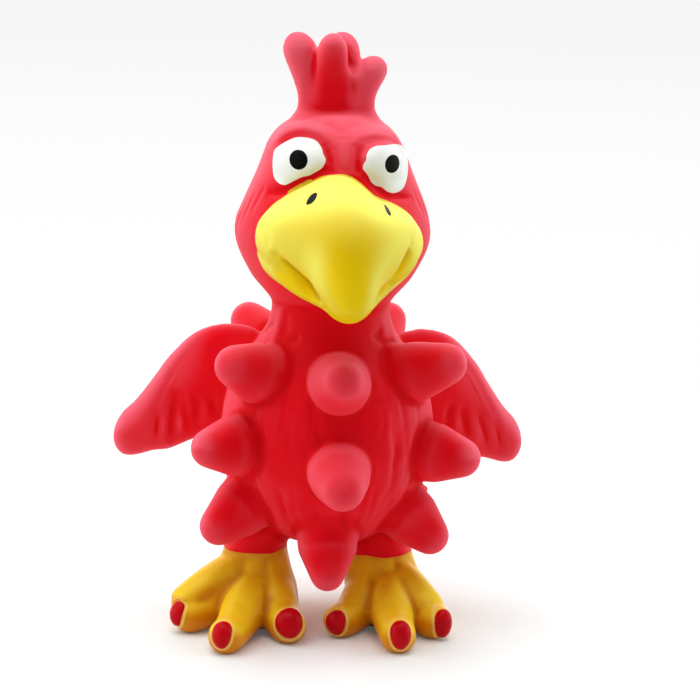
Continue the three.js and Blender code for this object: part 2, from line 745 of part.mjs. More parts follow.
SIDES.forEach((foot) => {
  const footCut = footForm(foot, GAP);
  moulding.add(
    piece(`${foot.name}_leg`, legForm(foot.side, 0).subtract(bodyCut), latexRed),
    piece(`${foot.name}_foot`, footForm(foot, 0), paintYellow),
    ...TOES.map((toe) =>
      piece(`${foot.name}_${toe.name}_toenail`, nailForm(foot, toe).subtract(footCut), paintNail),
    ),
  );
});

// The head, with what it carries.
const neckCut = neckBall(GAP);
const brows = joined(SIDES.map(({ side }) => browForm(side)));
const headSkin = headForm(0).add(brows).subtract(headHollow(0)).subtract(neckCut);
const headCut = headForm(GAP).add(brows);
const beakCut = upperBeakForm(GAP);
moulding.add(
  piece("head_skin", headSkin, latexRed),
  piece("head_filling", headHollow(GAP).subtract(neckCut), fibre),
  piece("comb", combForm().subtract(headCut), latexRed),
  piece("upper_beak", upperBeakForm(0).subtract(headCut), paintYellow),
  piece("lower_beak", lowerBeakForm().subtract(headCut).subtract(beakCut), paintYellow),
);
SIDES.forEach(({ name, side }) => {
  const frame = eyeFrame(side);
  const white = placed(eyeForm(0), frame).subtract(headCut).subtract(beakCut);
  moulding.add(
    piece(`${name}_eye`, white, paintWhite),
    piece(`${name}_pupil`, placed(pupilForm(), frame), paintBlack),
    piece(`${name}_nostril`, nostrilForm(side), paintBlack),
  );
});

SIDES.forEach(({ name, side }) => {
  const wing = piece(`${name}_wing`, wingForm(side), latexRed);
  wing.applyMatrix4(wingFrame(side));
  moulding.add(wing);
});

const squeaker = new THREE.Group();
squeaker.applyMatrix4(squeakerFrame);
squeaker.add(
  piece("squeaker_housing", squeakerHousing(), whitePlastic),
  piece("squeaker_cap", squeakerCap(), whitePlastic),
  piece("squeaker_reed_seat", reedSeat(), whitePlastic),
  piece("squeaker_reed", squeakerReed(), clearPlastic),
);
moulding.add(squeaker);

// The toy stands with the middle of its bounding box over the origin.
const bounds = new THREE.Box3().setFromObject(moulding, true);
const middle = bounds.getCenter(vec(0, 0, 0));
moulding.position.set(-middle.x, -middle.y, 0);

export default toy;
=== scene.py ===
"""A squeaky dog toy: a moulded latex rooster with a round, spiked body.

The whole toy is first sculpted as the one latex moulding that it is. Its painted regions and its head, comb and
wings are then parted off along their paint lines and creases, each as a closed piece.
Sizes in the tables are in millimetres; the toy faces -Y and its left is +X.
"""
import math

import bmesh
import bpy
import numpy as np
from mathutils import Matrix, Vector
from mathutils.bvhtree import BVHTree


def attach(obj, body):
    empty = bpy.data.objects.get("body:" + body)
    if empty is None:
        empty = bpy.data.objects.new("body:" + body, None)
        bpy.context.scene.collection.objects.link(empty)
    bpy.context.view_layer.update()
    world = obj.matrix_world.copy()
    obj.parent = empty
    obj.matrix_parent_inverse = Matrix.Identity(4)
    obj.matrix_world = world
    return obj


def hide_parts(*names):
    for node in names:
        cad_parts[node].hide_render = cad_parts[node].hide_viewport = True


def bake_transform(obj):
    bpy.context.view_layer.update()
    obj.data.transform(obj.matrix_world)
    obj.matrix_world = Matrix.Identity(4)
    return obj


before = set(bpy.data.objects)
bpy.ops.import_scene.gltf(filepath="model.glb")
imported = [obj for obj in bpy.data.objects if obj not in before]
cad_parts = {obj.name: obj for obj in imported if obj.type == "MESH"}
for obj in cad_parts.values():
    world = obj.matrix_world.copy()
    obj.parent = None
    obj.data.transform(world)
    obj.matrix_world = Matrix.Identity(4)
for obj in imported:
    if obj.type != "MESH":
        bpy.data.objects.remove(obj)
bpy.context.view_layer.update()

bl_info = {
    "name": "Squeaky latex rooster",
    "version": (1, 0, 0),
    "blender": (4, 5, 0),
    "location": "3D View > Sidebar > Rooster",
    "description": "Sculpts, paints and stages a squeaky latex dog toy shaped as a rooster",
    "category": "Object",
}

MM = 0.001
SEED = 11


# ---------------------------------------------------------------- places, in millimetres

TOY_Y = 3.34  # the ball's axis lies this far behind the middle of the toy

# Spikes: azimuth from the front towards the toy's left, height of the foot, climb, length, tip radius
SPIKES = [
    (0, 69.4, 18, 15, 5.4),
    (0, 47.5, -10, 15, 5.7),
    (-4, 26.7, -62, 14, 4.6),
    (-54, 69.9, 21, 15, 5.5),
    (57, 70.0, 20, 16.5, 5.5),
    (-60, 51.3, 2, 14.2, 5.2),
    (63, 49.0, -4, 14.5, 5.2),
    (-66, 34.5, -33, 15, 5.2),
    (61, 32.4, -38, 14.6, 5.2),
    (-141, 70.6, 35, 15, 5.2),
    (143, 70.6, 35, 15, 5.2),
    (-128, 47.1, -8, 15, 5.2),
    (128, 47.1, -8, 15, 5.2),
    (180, 53.7, 4, 15, 5.2),
]

# Comb lobes: foot (x, y), tip (x, y, z), half widths upwards and half depth
LOBES = [
    ((-5.4, 0), (-11.6, 0.4, 156.6), (4.9, 4.6, 4.4), 4.0),
    ((-1.8, -1.8), (-1.6, -5.0, 157.0), (7.6, 5.4, 3.4), 3.6),
    ((1.8, 2.5), (1.6, 3.4, 156.8), (5.0, 4.8, 4.6), 4.4),
    ((6.2, 0), (11.4, -0.8, 150.6), (4.6, 4.2, 3.7), 4.0),
    ((-2.5, 4), (-4.2, 6.4, 151.5), (4.0, 4.0, 4.0), 4.0),
]

# Brow crests, seen from the front
RIGHT_BROW = [(-17.6, -1.0, 126.6), (-14.6, -3.6, 130.6), (-10.8, -6.4, 132.6),
              (-6.8, -9.4, 132.2), (-3.2, -12.6, 129.2)]
LEFT_BROW = [(2.8, -12.8, 128.6), (5.8, -10.4, 130.8), (9.8, -7.4, 131.6),
             (14.0, -3.8, 130.4), (17.4, -1.0, 126.8)]

# Brushed outlines of the eyes' white paint, seen from the front (x, z)
RIGHT_EYE = [
    (-16.7, 125.1), (-16.3, 127.0), (-15.3, 128.3), (-13.6, 129.7), (-11.8, 130.8), (-10.2, 131.2),
    (-7.9, 131.1), (-6.4, 130.5), (-5.3, 129.0), (-5.0, 127.7), (-4.4, 126.5), (-4.6, 125.4),
    (-5.5, 124.2), (-6.9, 123.3), (-8.3, 122.5), (-10.2, 121.9), (-11.9, 120.9), (-12.9, 120.2),
    (-14.3, 119.5), (-15.7, 119.9), (-16.6, 121.1), (-16.8, 123.1),
]
LEFT_EYE = [
    (6.1, 127.4), (6.9, 128.7), (8.5, 129.5), (10.5, 129.6), (13.1, 129.5), (15.6, 128.9),
    (17.4, 127.8), (18.3, 126.3), (18.3, 124.1), (17.7, 121.6), (16.6, 119.4), (15.3, 118.3),
    (13.4, 117.9), (11.6, 118.5), (10.1, 119.6), (8.5, 120.1), (7.4, 121.0), (6.6, 122.5),
    (6.1, 123.2), (5.2, 124.3), (5.5, 125.6), (6.0, 126.3),
]


# ---------------------------------------------------------------- sizes and colours


def length(name, description, millimetres):
    return bpy.props.FloatProperty(name=name, description=description, default=millimetres * MM, unit="LENGTH")


def tint(name, description, default):
    return bpy.props.FloatVectorProperty(name=name, description=description, default=default, subtype="COLOR")


class ToySizes(bpy.types.PropertyGroup):
    ball_radius: length("Ball radius", "Half width of the round body", 28.2)
    ball_height: length("Ball height", "Height of the body's widest place", 50)
    ball_bottom: length("Ball bottom", "Height of the body's lowest place", 20.8)
    neck_radius: length("Neck radius", "Half width of the neck", 15.4)
    clay: length("Sculpting grain", "Size of the squares of the sculpted surface", 0.52)
    smoothing: bpy.props.IntProperty(
        name="Smoothing", description="How often the sculpted surface is smoothed", default=24)
    coat: length("Paint thickness", "How far a brushed coat stands out", 0.12)


class ToyColours(bpy.types.PropertyGroup):
    latex: tint("Latex", "Colour of the latex", (0.81, 0.002, 0.010))
    # Painted shade: the darker red that is painted into the latex's creases
    latex_crease_shade: tint("Latex in creases", "Colour of the latex in its creases", (0.62, 0.0005, 0.003))
    # Painted highlight: the pale pink that is painted where light falls on the latex
    latex_painted_highlight: tint("Latex on crests", "Colour of the pale film on the latex", (0.90, 0.13, 0.185))
    beak: tint("Beak paint", "Colour of the beak", (0.74, 0.49, 0.002))
    # Painted light: the paler yellow painted where the beak faces up and turns from the front
    beak_painted_highlight: tint("Pale beak paint", "Colour of the beak where it faces up", (0.92, 0.86, 0.14))
    foot: tint("Foot paint", "Colour of the feet", (0.70, 0.235, 0.001))
    # Painted light: the paler yellow painted where the feet face up and turn from the front
    foot_painted_highlight: tint("Pale foot paint", "Colour of the feet where they face up", (0.90, 0.61, 0.014))
    # Where the thin paint lets the latex show through in random patches, and painted shade in the feet's creases
    foot_thin_paint_and_shade: tint("Foot paint in creases", "Where the latex shows through", (0.55, 0.17, 0.001))
    nail: tint("Nail paint", "Colour of the toenails", (0.52, 0.002, 0.007))
    white: tint("Eye white", "Colour of the eyes", (0.84, 0.85, 0.82))
    black: tint("Eye black", "Colour of the pupils", (0.002, 0.002, 0.002))


# ---------------------------------------------------------------- tools for shapes


def work_on(*objects):
    """Selects only these objects and makes the first one active."""
    bpy.ops.object.select_all(action="DESELECT")
    for obj in objects:
        obj.select_set(True)
    bpy.context.view_layer.objects.active = objects[0]


def read(items, key, width=1, kind=np.float32):
    """A value of each of a mesh's points, edges, faces or corners, or a row of them."""
    values = np.empty(len(items) * width, kind)
    items.foreach_get(key, values)
    return values if width == 1 else values.reshape(-1, width)


def keep(obj, name, values, kind="FLOAT"):
    """Keeps a value, or a direction, at each of the mesh's points under a name."""
    layer = obj.data.attributes.get(name) or obj.data.attributes.new(name, kind, "POINT")
    layer.data.foreach_set("value" if kind == "FLOAT" else "vector", values.astype(np.float32).ravel())


def points(obj):
    """The mesh's points in millimetres."""
    return read(obj.data.vertices, "co", 3).astype(float) / MM


def set_points(obj, co):
    obj.data.vertices.foreach_set("co", (co * MM).astype(np.float32).ravel())
    obj.data.update()


def outward(obj):
    """The mesh's outward direction at each point."""
    return read(obj.data.vertices, "normal", 3).astype(float)


def flow(values, t):
    """A curve through evenly spaced values, at t from 0 to 1 (Catmull-Rom)."""
    values = np.asarray(values, float)
    if values.ndim == 1:
        return flow(values[:, None], t)[:, 0]
    t = np.atleast_1d(np.asarray(t, float)) * (len(values) - 1)
    i = np.clip(np.floor(t).astype(int), 0, len(values) - 2)
    f = (t - i)[:, None]
    ahead = np.vstack([2 * values[0] - values[1], values, 2 * values[-1] - values[-2]])
    a, b, c, d = ahead[i], ahead[i + 1], ahead[i + 2], ahead[i + 3]
    return 0.5 * (2 * b + (c - a) * f + (2 * a - 5 * b + 4 * c - d) * f**2 + (3 * b - a - 3 * c + d) * f**3)


def round_form(segments, rings):
    bpy.ops.object.select_all(action="DESELECT")
    bpy.ops.mesh.primitive_uv_sphere_add(segments=segments, ring_count=rings, radius=1, location=(0, 0, 0))
    return bpy.context.object


def turned(outline, segments=96):
    """A solid of revolution about Z: a ball whose rings take the outline's radii and heights, from the
    top down."""
    obj = round_form(segments, len(outline) - 1)
    co = np.array([v.co[:] for v in obj.data.vertices])
    ring = np.rint(np.arccos(np.clip(co[:, 2], -1, 1)) / math.pi * (len(outline) - 1)).astype(int)
    radius, height = np.array(outline, float)[ring].T
    size = np.maximum(np.hypot(co[:, 0], co[:, 1]), 1e-9)
    poles = (ring == 0) | (ring == len(outline) - 1)
    radius = np.where(poles, 0, radius)
    set_points(obj, np.column_stack([co[:, 0] / size * radius, co[:, 1] / size * radius, height]))
    return obj


def limb(spine, across, widths, depths, ends, upright=None, segments=40, rings=36, section=None):
    """A limb that swells and tapers: a ball laid along a curved spine."""
    obj = round_form(segments, rings)
    co = np.array([v.co[:] for v in obj.data.vertices])
    t = np.clip((1 - co[:, 2]) / 2, 0, 1)
    size = np.maximum(np.hypot(co[:, 0], co[:, 1]), 1e-9)
    place = flow(spine, t)
    step = 1e-3
    tangent = flow(spine, np.clip(t + step, 0, 1)) - flow(spine, np.clip(t - step, 0, 1))
    tangent /= np.linalg.norm(tangent, axis=1)[:, None]
    line = flow(spine, np.linspace(0, 1, 200))
    length = np.linalg.norm(np.diff(line, axis=0), axis=1).sum()
    across = np.array(across, float)
    side = across - tangent * (tangent @ across)[:, None]
    side /= np.linalg.norm(side, axis=1)[:, None]
    other = np.cross(tangent, side) if upright is None else np.tile(np.array(upright, float), (len(t), 1))
    rounding = [np.sqrt(1 - np.clip(1 - d / end, 0, 1) ** 2)
                for d, end in ((t * length, ends[0]), ((1 - t) * length, ends[1]))]
    shape = np.minimum(*rounding)
    a, b = co[:, 0] / size, co[:, 1] / size
    if section:
        a, b = section(a, b, t)
    place += side * (a * flow(widths, t) * shape)[:, None]
    place += other * (b * flow(depths, t) * shape)[:, None]
    set_points(obj, place)
    return obj


def moved(obj, matrix):
    """Moves the mesh itself; the matrix is in millimetres."""
    co = points(obj)
    m = np.array(matrix)
    set_points(obj, co @ m[:3, :3].T + m[:3, 3])
    return obj


def aimed(origin, direction, up=(0, 0, 1)):
    """A frame at the origin whose +Z points in the direction."""
    z = Vector(direction).normalized()
    x = Vector(up).cross(z)
    x = x.normalized() if x.length > 1e-6 else Vector((1, 0, 0))
    y = z.cross(x)
    m = Matrix((x, y, z)).transposed().to_4x4()
    m.translation = Vector(origin)
    return m


def joined(objects, name):
    work_on(*objects)
    bpy.ops.object.join()
    objects[0].name = name
    return objects[0]


def add_modifier(obj, kind, **settings):
    """Adds a modifier and applies it."""
    work_on(obj)
    bpy.ops.object.modifier_add(type=kind)
    modifier = obj.modifiers[-1]
    for key, value in settings.items():
        setattr(modifier, key, value)
    bpy.ops.object.modifier_apply(modifier=modifier.name)


def remeshed(obj, grain):
    add_modifier(obj, "REMESH", mode="VOXEL", voxel_size=grain, use_smooth_shade=True)


# ---------------------------------------------------------------- strokes of the sculpting tool


def along(path, co):
    """Distance of each point from a path, and how far along it the nearest place lies (0 to 1)."""
    path = np.asarray(path, float)
    steps = np.diff(path, axis=0)
    lengths = np.linalg.norm(steps, axis=1)
    starts = np.concatenate([[0], np.cumsum(lengths)])
    best = np.full(len(co), 1e9)
    where = np.zeros(len(co))
    for start, step, length, base in zip(path, steps, lengths, starts):
        t = np.clip((co - start) @ step / length**2, 0, 1)
        d = np.linalg.norm(co - start - t[:, None] * step, axis=1)
        nearer = d < best
        best[nearer] = d[nearer]
        where[nearer] = (base + t * length)[nearer] / starts[-1]
    return best, where


class Clay:
    """A mesh under the sculpting tool."""

    def __init__(self, obj):
        self.obj = obj
        self.co = points(obj)
        self.no = outward(obj)

    def stroke(self, path, width, depth, fade=0.5, facing=None, gentle=None):
        """Presses a groove along the path (depth below zero) or raises a ridge. A gentle direction
        is the one in which it runs out softly."""
        path = np.asarray(path, float)
        if len(path) > 1:
            path = flow(path, np.linspace(0, 1, 4 * len(path)))
        margin = (2.6 if gentle is None else 5) * width
        near = np.all((self.co > path.min(0) - margin) & (self.co < path.max(0) + margin), axis=1)
        if facing is not None:
            near &= self.no @ np.array(facing, float) > 0.05
        near = np.nonzero(near)[0]
        if not len(near):
            return
        if len(path) > 1:
            distance, where = along(path, self.co[near])
            if gentle is not None:
                place = np.array([np.interp(where, np.linspace(0, 1, len(path)), path[:, k])
                                  for k in range(3)]).T
                beyond = (self.co[near] - place) @ np.array(gentle, float)
                distance = np.where(beyond > 0, distance / 3, distance)
            taper = np.sin(math.pi * np.clip(where, 0, 1)) ** fade if fade else np.ones(len(near))
        else:
            distance = np.linalg.norm(self.co[near] - path[0], axis=1)
            taper = 1.0
        amount = depth * taper * np.exp(-((distance / width) ** 2))
        self.co[near] += self.no[near] * amount[:, None]

    def push(self, path, way, depth, width):
        """Pushes the clay along a path, all of it one way."""
        way = np.array(way, float) / np.linalg.norm(way)
        path = flow(np.asarray(path, float), np.linspace(0, 1, 6 * len(path)))
        near = np.nonzero(along(path, self.co)[0] < 7)[0]
        flat = self.co[near] - np.outer(self.co[near] @ way, way)
        line = path - np.outer(path @ way, way)
        distance, where = along(line, flat)
        amount = depth * np.sin(math.pi * np.clip(where, 0.03, 0.97)) ** 0.5 * np.exp(-((distance / width) ** 2))
        self.co[near] += way * amount[:, None]

    def done(self):
        set_points(self.obj, self.co)
        self.no = outward(self.obj)


# ---------------------------------------------------------------- parting pieces off


OUTSIDE = 9.0  # a field's value where it is not worked out, far from its line


def part_off(source, name, field, apex):
    """Cuts the source along the line where the field is zero. What lies below zero becomes a piece
    of its own, and both are closed towards the apex inside."""
    mesh = source.data
    side = field(points(source)).astype(np.float32)
    side[np.abs(side) < 1e-4] = 1e-4
    keep(source, "side", side)
    ends = read(mesh.edges, "vertices", 2, np.int32)
    a, b = side[ends].T
    crossing = np.nonzero(a * b < 0)[0]
    bm = bmesh.new()
    bm.from_mesh(mesh)
    bm.edges.ensure_lookup_table()
    edges = [bm.edges[i] for i in crossing]
    line = []
    for edge, i in zip(edges, crossing):
        first = edge.verts[0] if edge.verts[0].index == ends[i, 0] else edge.verts[1]
        line.append(bmesh.utils.edge_split(edge, first, float(a[i] / (a[i] - b[i])))[1])
    bmesh.ops.connect_verts(bm, verts=line)
    bm.to_mesh(mesh)
    bm.free()
    values = read(mesh.attributes["side"].data, "value")
    corners = read(mesh.loops, "vertex_index", kind=np.int32)
    starts = read(mesh.polygons, "loop_start", kind=np.int32)
    inside = np.add.reduceat(values[corners], starts) < 0
    for items in (mesh.vertices, mesh.edges):
        items.foreach_set("select", np.zeros(len(items), bool))
    mesh.polygons.foreach_set("select", inside)
    work_on(source)
    bpy.context.tool_settings.mesh_select_mode = (False, False, True)
    bpy.ops.object.mode_set(mode="EDIT")
    bpy.ops.mesh.separate(type="SELECTED")
    bpy.ops.object.mode_set(mode="OBJECT")
    made = [o for o in bpy.context.selected_objects if o is not source]
    if len(made) != 1:
        raise RuntimeError(f"nothing was parted off for {name}")
    piece = made[0]
    piece.name = name
    for obj in (source, piece):
        close(obj, apex)
    return piece


def keep_outward(obj):
    """Keeps the uncut surface's outward directions, so that pieces meet without a visible line."""
    keep(obj, "outward", outward(obj), "FLOAT_VECTOR")


def keep_relief(obj, rounds):
    """Keeps how far each point stands out from its surroundings, in millimetres, how far it faces up and to
    the front, and how near it is to a toenail's lip."""
    co, no = points(obj), outward(obj)
    ends = read(obj.data.edges, "vertices", 2, np.int32)
    a, b = ends.T
    neighbours = np.bincount(ends.ravel(), minlength=len(co))[:, None]
    around = co.copy()
    for _ in range(rounds):
        total = [np.bincount(a, around[b, k], len(co)) + np.bincount(b, around[a, k], len(co))
                 for k in range(3)]
        around = 0.3 * around + 0.7 * np.column_stack(total) / neighbours
    lip = np.zeros(len(co))
    for m, (wide, tall, _) in STORE["nails"]:
        near = np.nonzero(np.linalg.norm(co - np.array(m.translation), axis=1) < 2.4 * tall)[0]
        across, up, out = ((co[near] - np.array(m.translation)) @ np.array(m.to_3x3())).T
        rim = np.exp(-(((np.hypot(across / wide, up / tall) - 1.07) / 0.1) ** 2)) * (out > -3.5)
        lip[near] = np.maximum(lip[near], rim)
    # Crest guides the painted shade in creases; lift and facing guide the painted light where surfaces face up or
    # turn from the camera
    kept = {"crest": ((co - around) * no).sum(1), "lift": no[:, 2], "facing": no @ np.array(FRONT), "lip": lip}
    for name, values in kept.items():
        keep(obj, name, values)


def use_outward(obj):
    """Gives a piece the kept directions; its closing faces keep their own."""
    mesh = obj.data
    kept = read(mesh.attributes["outward"].data, "vector", 3)
    corners = read(mesh.loops, "vertex_index", kind=np.int32)
    starts = read(mesh.polygons, "loop_start", kind=np.int32)
    sizes = np.diff(np.append(starts, len(corners)))
    apexes = np.bincount(corners, minlength=len(kept)) > 24
    closing = np.repeat(np.maximum.reduceat(apexes[corners].astype(int), starts) > 0, sizes)
    normals = kept[corners]
    normals /= np.maximum(np.linalg.norm(normals, axis=1), 1e-6)[:, None]
    normals[closing] = 0
    mesh.normals_split_custom_set(normals)
    mesh.attributes.remove(mesh.attributes["outward"])


def close(obj, apex):
    """Closes an open edge towards a point inside, and keeps it sharp."""
    work_on(obj)
    bpy.context.scene.cursor.location = Vector(apex) * MM
    bpy.context.tool_settings.mesh_select_mode = (False, True, False)
    bpy.ops.object.mode_set(mode="EDIT")
    bpy.ops.mesh.select_all(action="DESELECT")
    bpy.ops.mesh.select_non_manifold(
        extend=False, use_wire=False, use_boundary=True, use_multi_face=False,
        use_non_contiguous=False, use_verts=False)
    bpy.ops.mesh.mark_sharp()
    bpy.ops.mesh.extrude_edges_move()
    bpy.ops.mesh.merge(type="CURSOR")
    bpy.ops.mesh.select_all(action="DESELECT")
    bpy.ops.object.mode_set(mode="OBJECT")


def outline_field(outline):
    """Signed distance from a closed outline seen from the front, below zero inside it."""
    ring = flow(outline + outline[:1], np.linspace(0, 1, 12 * len(outline)))

    def field(co):
        flat = co[:, [0, 2]]
        value = np.full(len(co), OUTSIDE)
        low, high = ring.min(0) - 2, ring.max(0) + 2
        near = np.all((flat > low) & (flat < high), axis=1) & (co[:, 1] < TOY_Y)
        near = np.nonzero(near)[0]
        distance, _ = along(np.column_stack([ring[:, 0], 0 * ring[:, 0], ring[:, 1]]),
                            np.column_stack([flat[near, 0], 0 * near, flat[near, 1]]))
        x, z = flat[near].T
        inside = np.zeros(len(near), bool)
        for (x0, z0), (x1, z1) in zip(ring, np.roll(ring, -1, axis=0)):
            crosses = (z0 > z) != (z1 > z)
            if crosses.any():
                inside ^= crosses & (x < (x1 - x0) * (z - z0) / ((z1 - z0) or 1e-9) + x0)
        value[near] = np.where(inside, -distance, distance)
        return value

    return field


def nearness(obj):
    """Distance to an object's surface, kept as it is now."""
    tree = BVHTree.FromObject(obj, bpy.context.evaluated_depsgraph_get())

    def distance(co, most=6.0):
        found = np.full(len(co), most)
        for i, p in enumerate(co):
            hit = tree.find_nearest(Vector(p) * MM, most * MM)
            if hit[0] is not None:
                found[i] = hit[3] / MM
        return found

    return distance


def limited(field, low, high):
    """The field inside a box, and far above zero outside it."""
    low, high = np.array(low, float), np.array(high, float)

    def value(co):
        result = np.full(len(co), OUTSIDE)
        near = np.nonzero(np.all((co > low) & (co < high), axis=1))[0]
        if len(near):
            result[near] = field(co[near])
        return result

    return value


def ripple(co, size, height, phase=0.0):
    """A gentle wander for a brushed line."""
    x, y, z = co.T / size
    return height * (np.sin(1.7 * x + phase) * np.cos(1.3 * y - 0.6 * phase)
                     + 0.6 * np.sin(2.9 * z + 2.1 * x + 1.9 * phase))


STORE = {}  # working shapes that later operators read


# ---------------------------------------------------------------- regions of the moulding


def body_outline(sizes):
    """The ball, its shoulders and the neck, from the top down."""
    r, z, low, neck = (v / MM for v in (sizes.ball_radius, sizes.ball_height, sizes.ball_bottom,
                                      sizes.neck_radius))
    t = np.linspace(1, 0, 40)[:, None]
    a, b, c, d = np.array([(r, z), (r, z + 24), (neck, 73.5), (neck, 86.5)])
    shoulder = (1 - t) ** 3 * a + 3 * (1 - t) ** 2 * t * b + 3 * (1 - t) * t**2 * c + t**3 * d
    turn = np.linspace(0, math.pi / 2, 40)[1:, None]
    under = np.hstack([r * np.cos(turn), z - (z - low) * np.sin(turn)])
    return [(0, 92), (neck, 92), *map(tuple, shoulder), *map(tuple, under)]


def body_radius(outline, z):
    line = np.array(sorted((h, r) for r, h in outline[2:]))
    return float(np.interp(z, line[:, 0], line[:, 1]))


def spike(sizes, outline, azimuth, height, climb, length, tip):
    """One spike: a flared foot, a straight flank and a round tip."""
    base, foot, flare, sink = 7.8, 9.6, 3.2, 3
    tip_z = length - tip
    lean = math.asin((base - tip) / (tip_z - flare))
    line = [(0, -sink), (foot, -sink)]
    t = np.linspace(0, 1, 12)[1:, None]
    a, b, c = np.array([(foot, -sink), (base, -sink / 2), (base, flare)])
    line += map(tuple, (1 - t) ** 2 * a + 2 * t * (1 - t) * b + t**2 * c)
    for turn in np.linspace(lean, math.pi / 2, 14):
        line.append((tip * math.cos(turn), tip_z + tip * math.sin(turn)))
    obj = turned(line[::-1], 40)
    a, c = math.radians(azimuth), math.radians(climb)
    out = Vector((math.sin(a), -math.cos(a), 0))
    origin = out * body_radius(outline, height) + Vector((0, TOY_Y, height))
    return moved(obj, aimed(origin, out * math.cos(c) + Vector((0, 0, math.sin(c)))))


def head_outline():
    line = [(15.4, 79), (15.4, 86.5), (21.8, 95), (25.6, 106), (20.9, 120), (14.4, 132.4), (0, 138.6)]
    curve = flow(line, np.linspace(0, 1, 70))
    return [tuple(p) for p in curve[::-1]] + [(0, 79)]


def beak(upper):
    shares = (
        [(0, 0, 1.0, 0.95, -0.45), (0.4, 0.03, 0.99, 1, -0.4), (0.72, 0.2, 0.75, 0.9, -0.4),
         (0.92, 0.52, 0.46, 0.57, -0.3),
         (1, 1, 0.17, 0.26, 0.9)]
        if upper
        else [(0, 0, 1, 1, -0.45), (0.45, 0.14, 1, 1, 0), (0.78, 0.5, 0.56, 0.86, 0.5), (1, 1, 0.15, 0.5, 0.9)]
    )
    root_y, root_z, length, drop, width, height, tip = (
        (-9, 109.5, 37, 19, 21.0, 14.2, 3.4) if upper else (-8, 102, 31, 12.5, 19.6, 7.4, 3.4)
    )
    return limb(
        [(sideways, TOY_Y + root_y - length * out, root_z - drop * down)
         for out, down, _, _, sideways in shares],
        (1, 0, 0),
        [width * share for _, _, share, _, _ in shares],
        [height * share for _, _, _, share, _ in shares],
        (height / 2, tip),
        segments=72,
        rings=60,
        section=upper_section if upper else lower_section,
    )


def upper_section(a, b, t):
    """Widest below its middle, with sloping shoulders that fade out towards the tip."""
    fade = 1 - np.clip((t - 0.15) / 0.4, 0, 1)
    fade = fade**2 * (3 - 2 * fade)
    left = 1.3 * a**2 * (1 - np.abs(a)) + 0.115 * np.exp(-(((a - 0.45) / 0.18) ** 2))
    shoulder = np.where(a > 0, left, 1.15 * a**2 * (1 - np.abs(a))) * fade
    tip = np.clip((t - 0.5) / 0.3, 0, 1)
    waist = np.exp(-(((t - 0.62) / 0.2) ** 2))
    across = np.where(a > 0, a * (1 - 0.14 * tip), a * (1 - 0.21 * waist)) - 0.05 * np.maximum(b, 0) * fade
    return across, np.where(b > 0, 1.19 * b - shoulder, (0.66 - 0.12 * waist * (a < 0)) * b) - 0.25


def lower_section(a, b, t):
    return np.where(a > 0, 0.95 * a, a), b


def comb():
    parts = [limb([(0, TOY_Y, 130), (0, TOY_Y, 148)], (1, 0, 0), [9.9, 10.0], [5.0, 5.0], (4.5, 3.0))]
    for (fx, fy), (tx, ty, tz), widths, depth in LOBES:
        spine = [(fx, TOY_Y + fy, 130), (fx, TOY_Y + fy, 141), (tx, TOY_Y + ty, tz)]
        parts.append(limb(spine, (1, 0, 0), widths, [depth] * 3, (4, widths[-1])))
    return joined(parts, "comb_form")


def crown():
    """The top of the head, drawn up round the comb's foot."""
    spine = [(0, TOY_Y, 129), (0, TOY_Y, 133.5), (0, TOY_Y, 137.5)]
    return limb(spine, (1, 0, 0), [14.6, 12.4, 9.8], [10.5, 8.2, 5.4], (2, 1))


def brow(crest):
    shift = np.array(crest) * (0.9, 1, 1) + (0, 1.4, -1.6)
    return limb(shift, (0, 0, 1), [2.0, 3.4, 4.0, 3.7, 2.2], [2.0, 3.2, 3.8, 3.5, 2.2], (3, 3))


def eyeball(side):
    a, tilt = math.radians(side * 36), math.radians(14)
    out = Vector((math.sin(a), -math.cos(a), 0))
    origin = out * 18.9 + Vector((0, TOY_Y, 124.8))
    look = out * math.cos(tilt) + Vector((0, 0, math.sin(tilt)))
    obj = round_form(48, 32)
    set_points(obj, points(obj) * MM * (8.0, 7.0, 5.4) + (0, 0, 2.2 - 5.4))
    return moved(obj, aimed(origin, look))


def wing_frame(side):
    """Origin on the wing's root line, +X outwards along the blade."""
    a = math.radians(side * 107)
    origin = Vector((math.sin(a), -math.cos(a), 0)) * 30.15 + Vector((0, TOY_Y, 65))
    m = Matrix.Rotation(math.radians(side * 16), 4, "Z")
    m.translation = origin
    return m


# Along a wing: shares of its span, drop, chord and thickness
WING = [(-0.5, 0.02, 0.86, 1.2), (-0.13, 0.03, 1.0, 1.05), (0.2, 0.17, 1.02, 1), (0.46, 0.43, 0.895, 1),
        (0.6, 0.585, 0.72, 1.0), (0.8, 0.815, 0.52, 1.0), (1.0, 0.935, 0.36, 0.9)]
# A wing's span, how far its blade is raised, and a share of its chord
WING_SPAN = {-1: (28.7, 0, 1.0), 1: (27.9, -2.0, 1.04)}


def wing(side):
    span, raised, deeper = WING_SPAN[side]
    obj = limb(
        [(side * span * out, 0, raised - 20.5 * down) for out, down, _, _ in WING],
        (0, 1, 0),
        [4.3 * thick for _, _, _, thick in WING],
        [14.6 * deeper * chord for _, _, chord, _ in WING],
        (4, 5.5),
        upright=(0, 0, side),
        segments=64,
        rings=60,
    )
    return moved(obj, wing_frame(side))


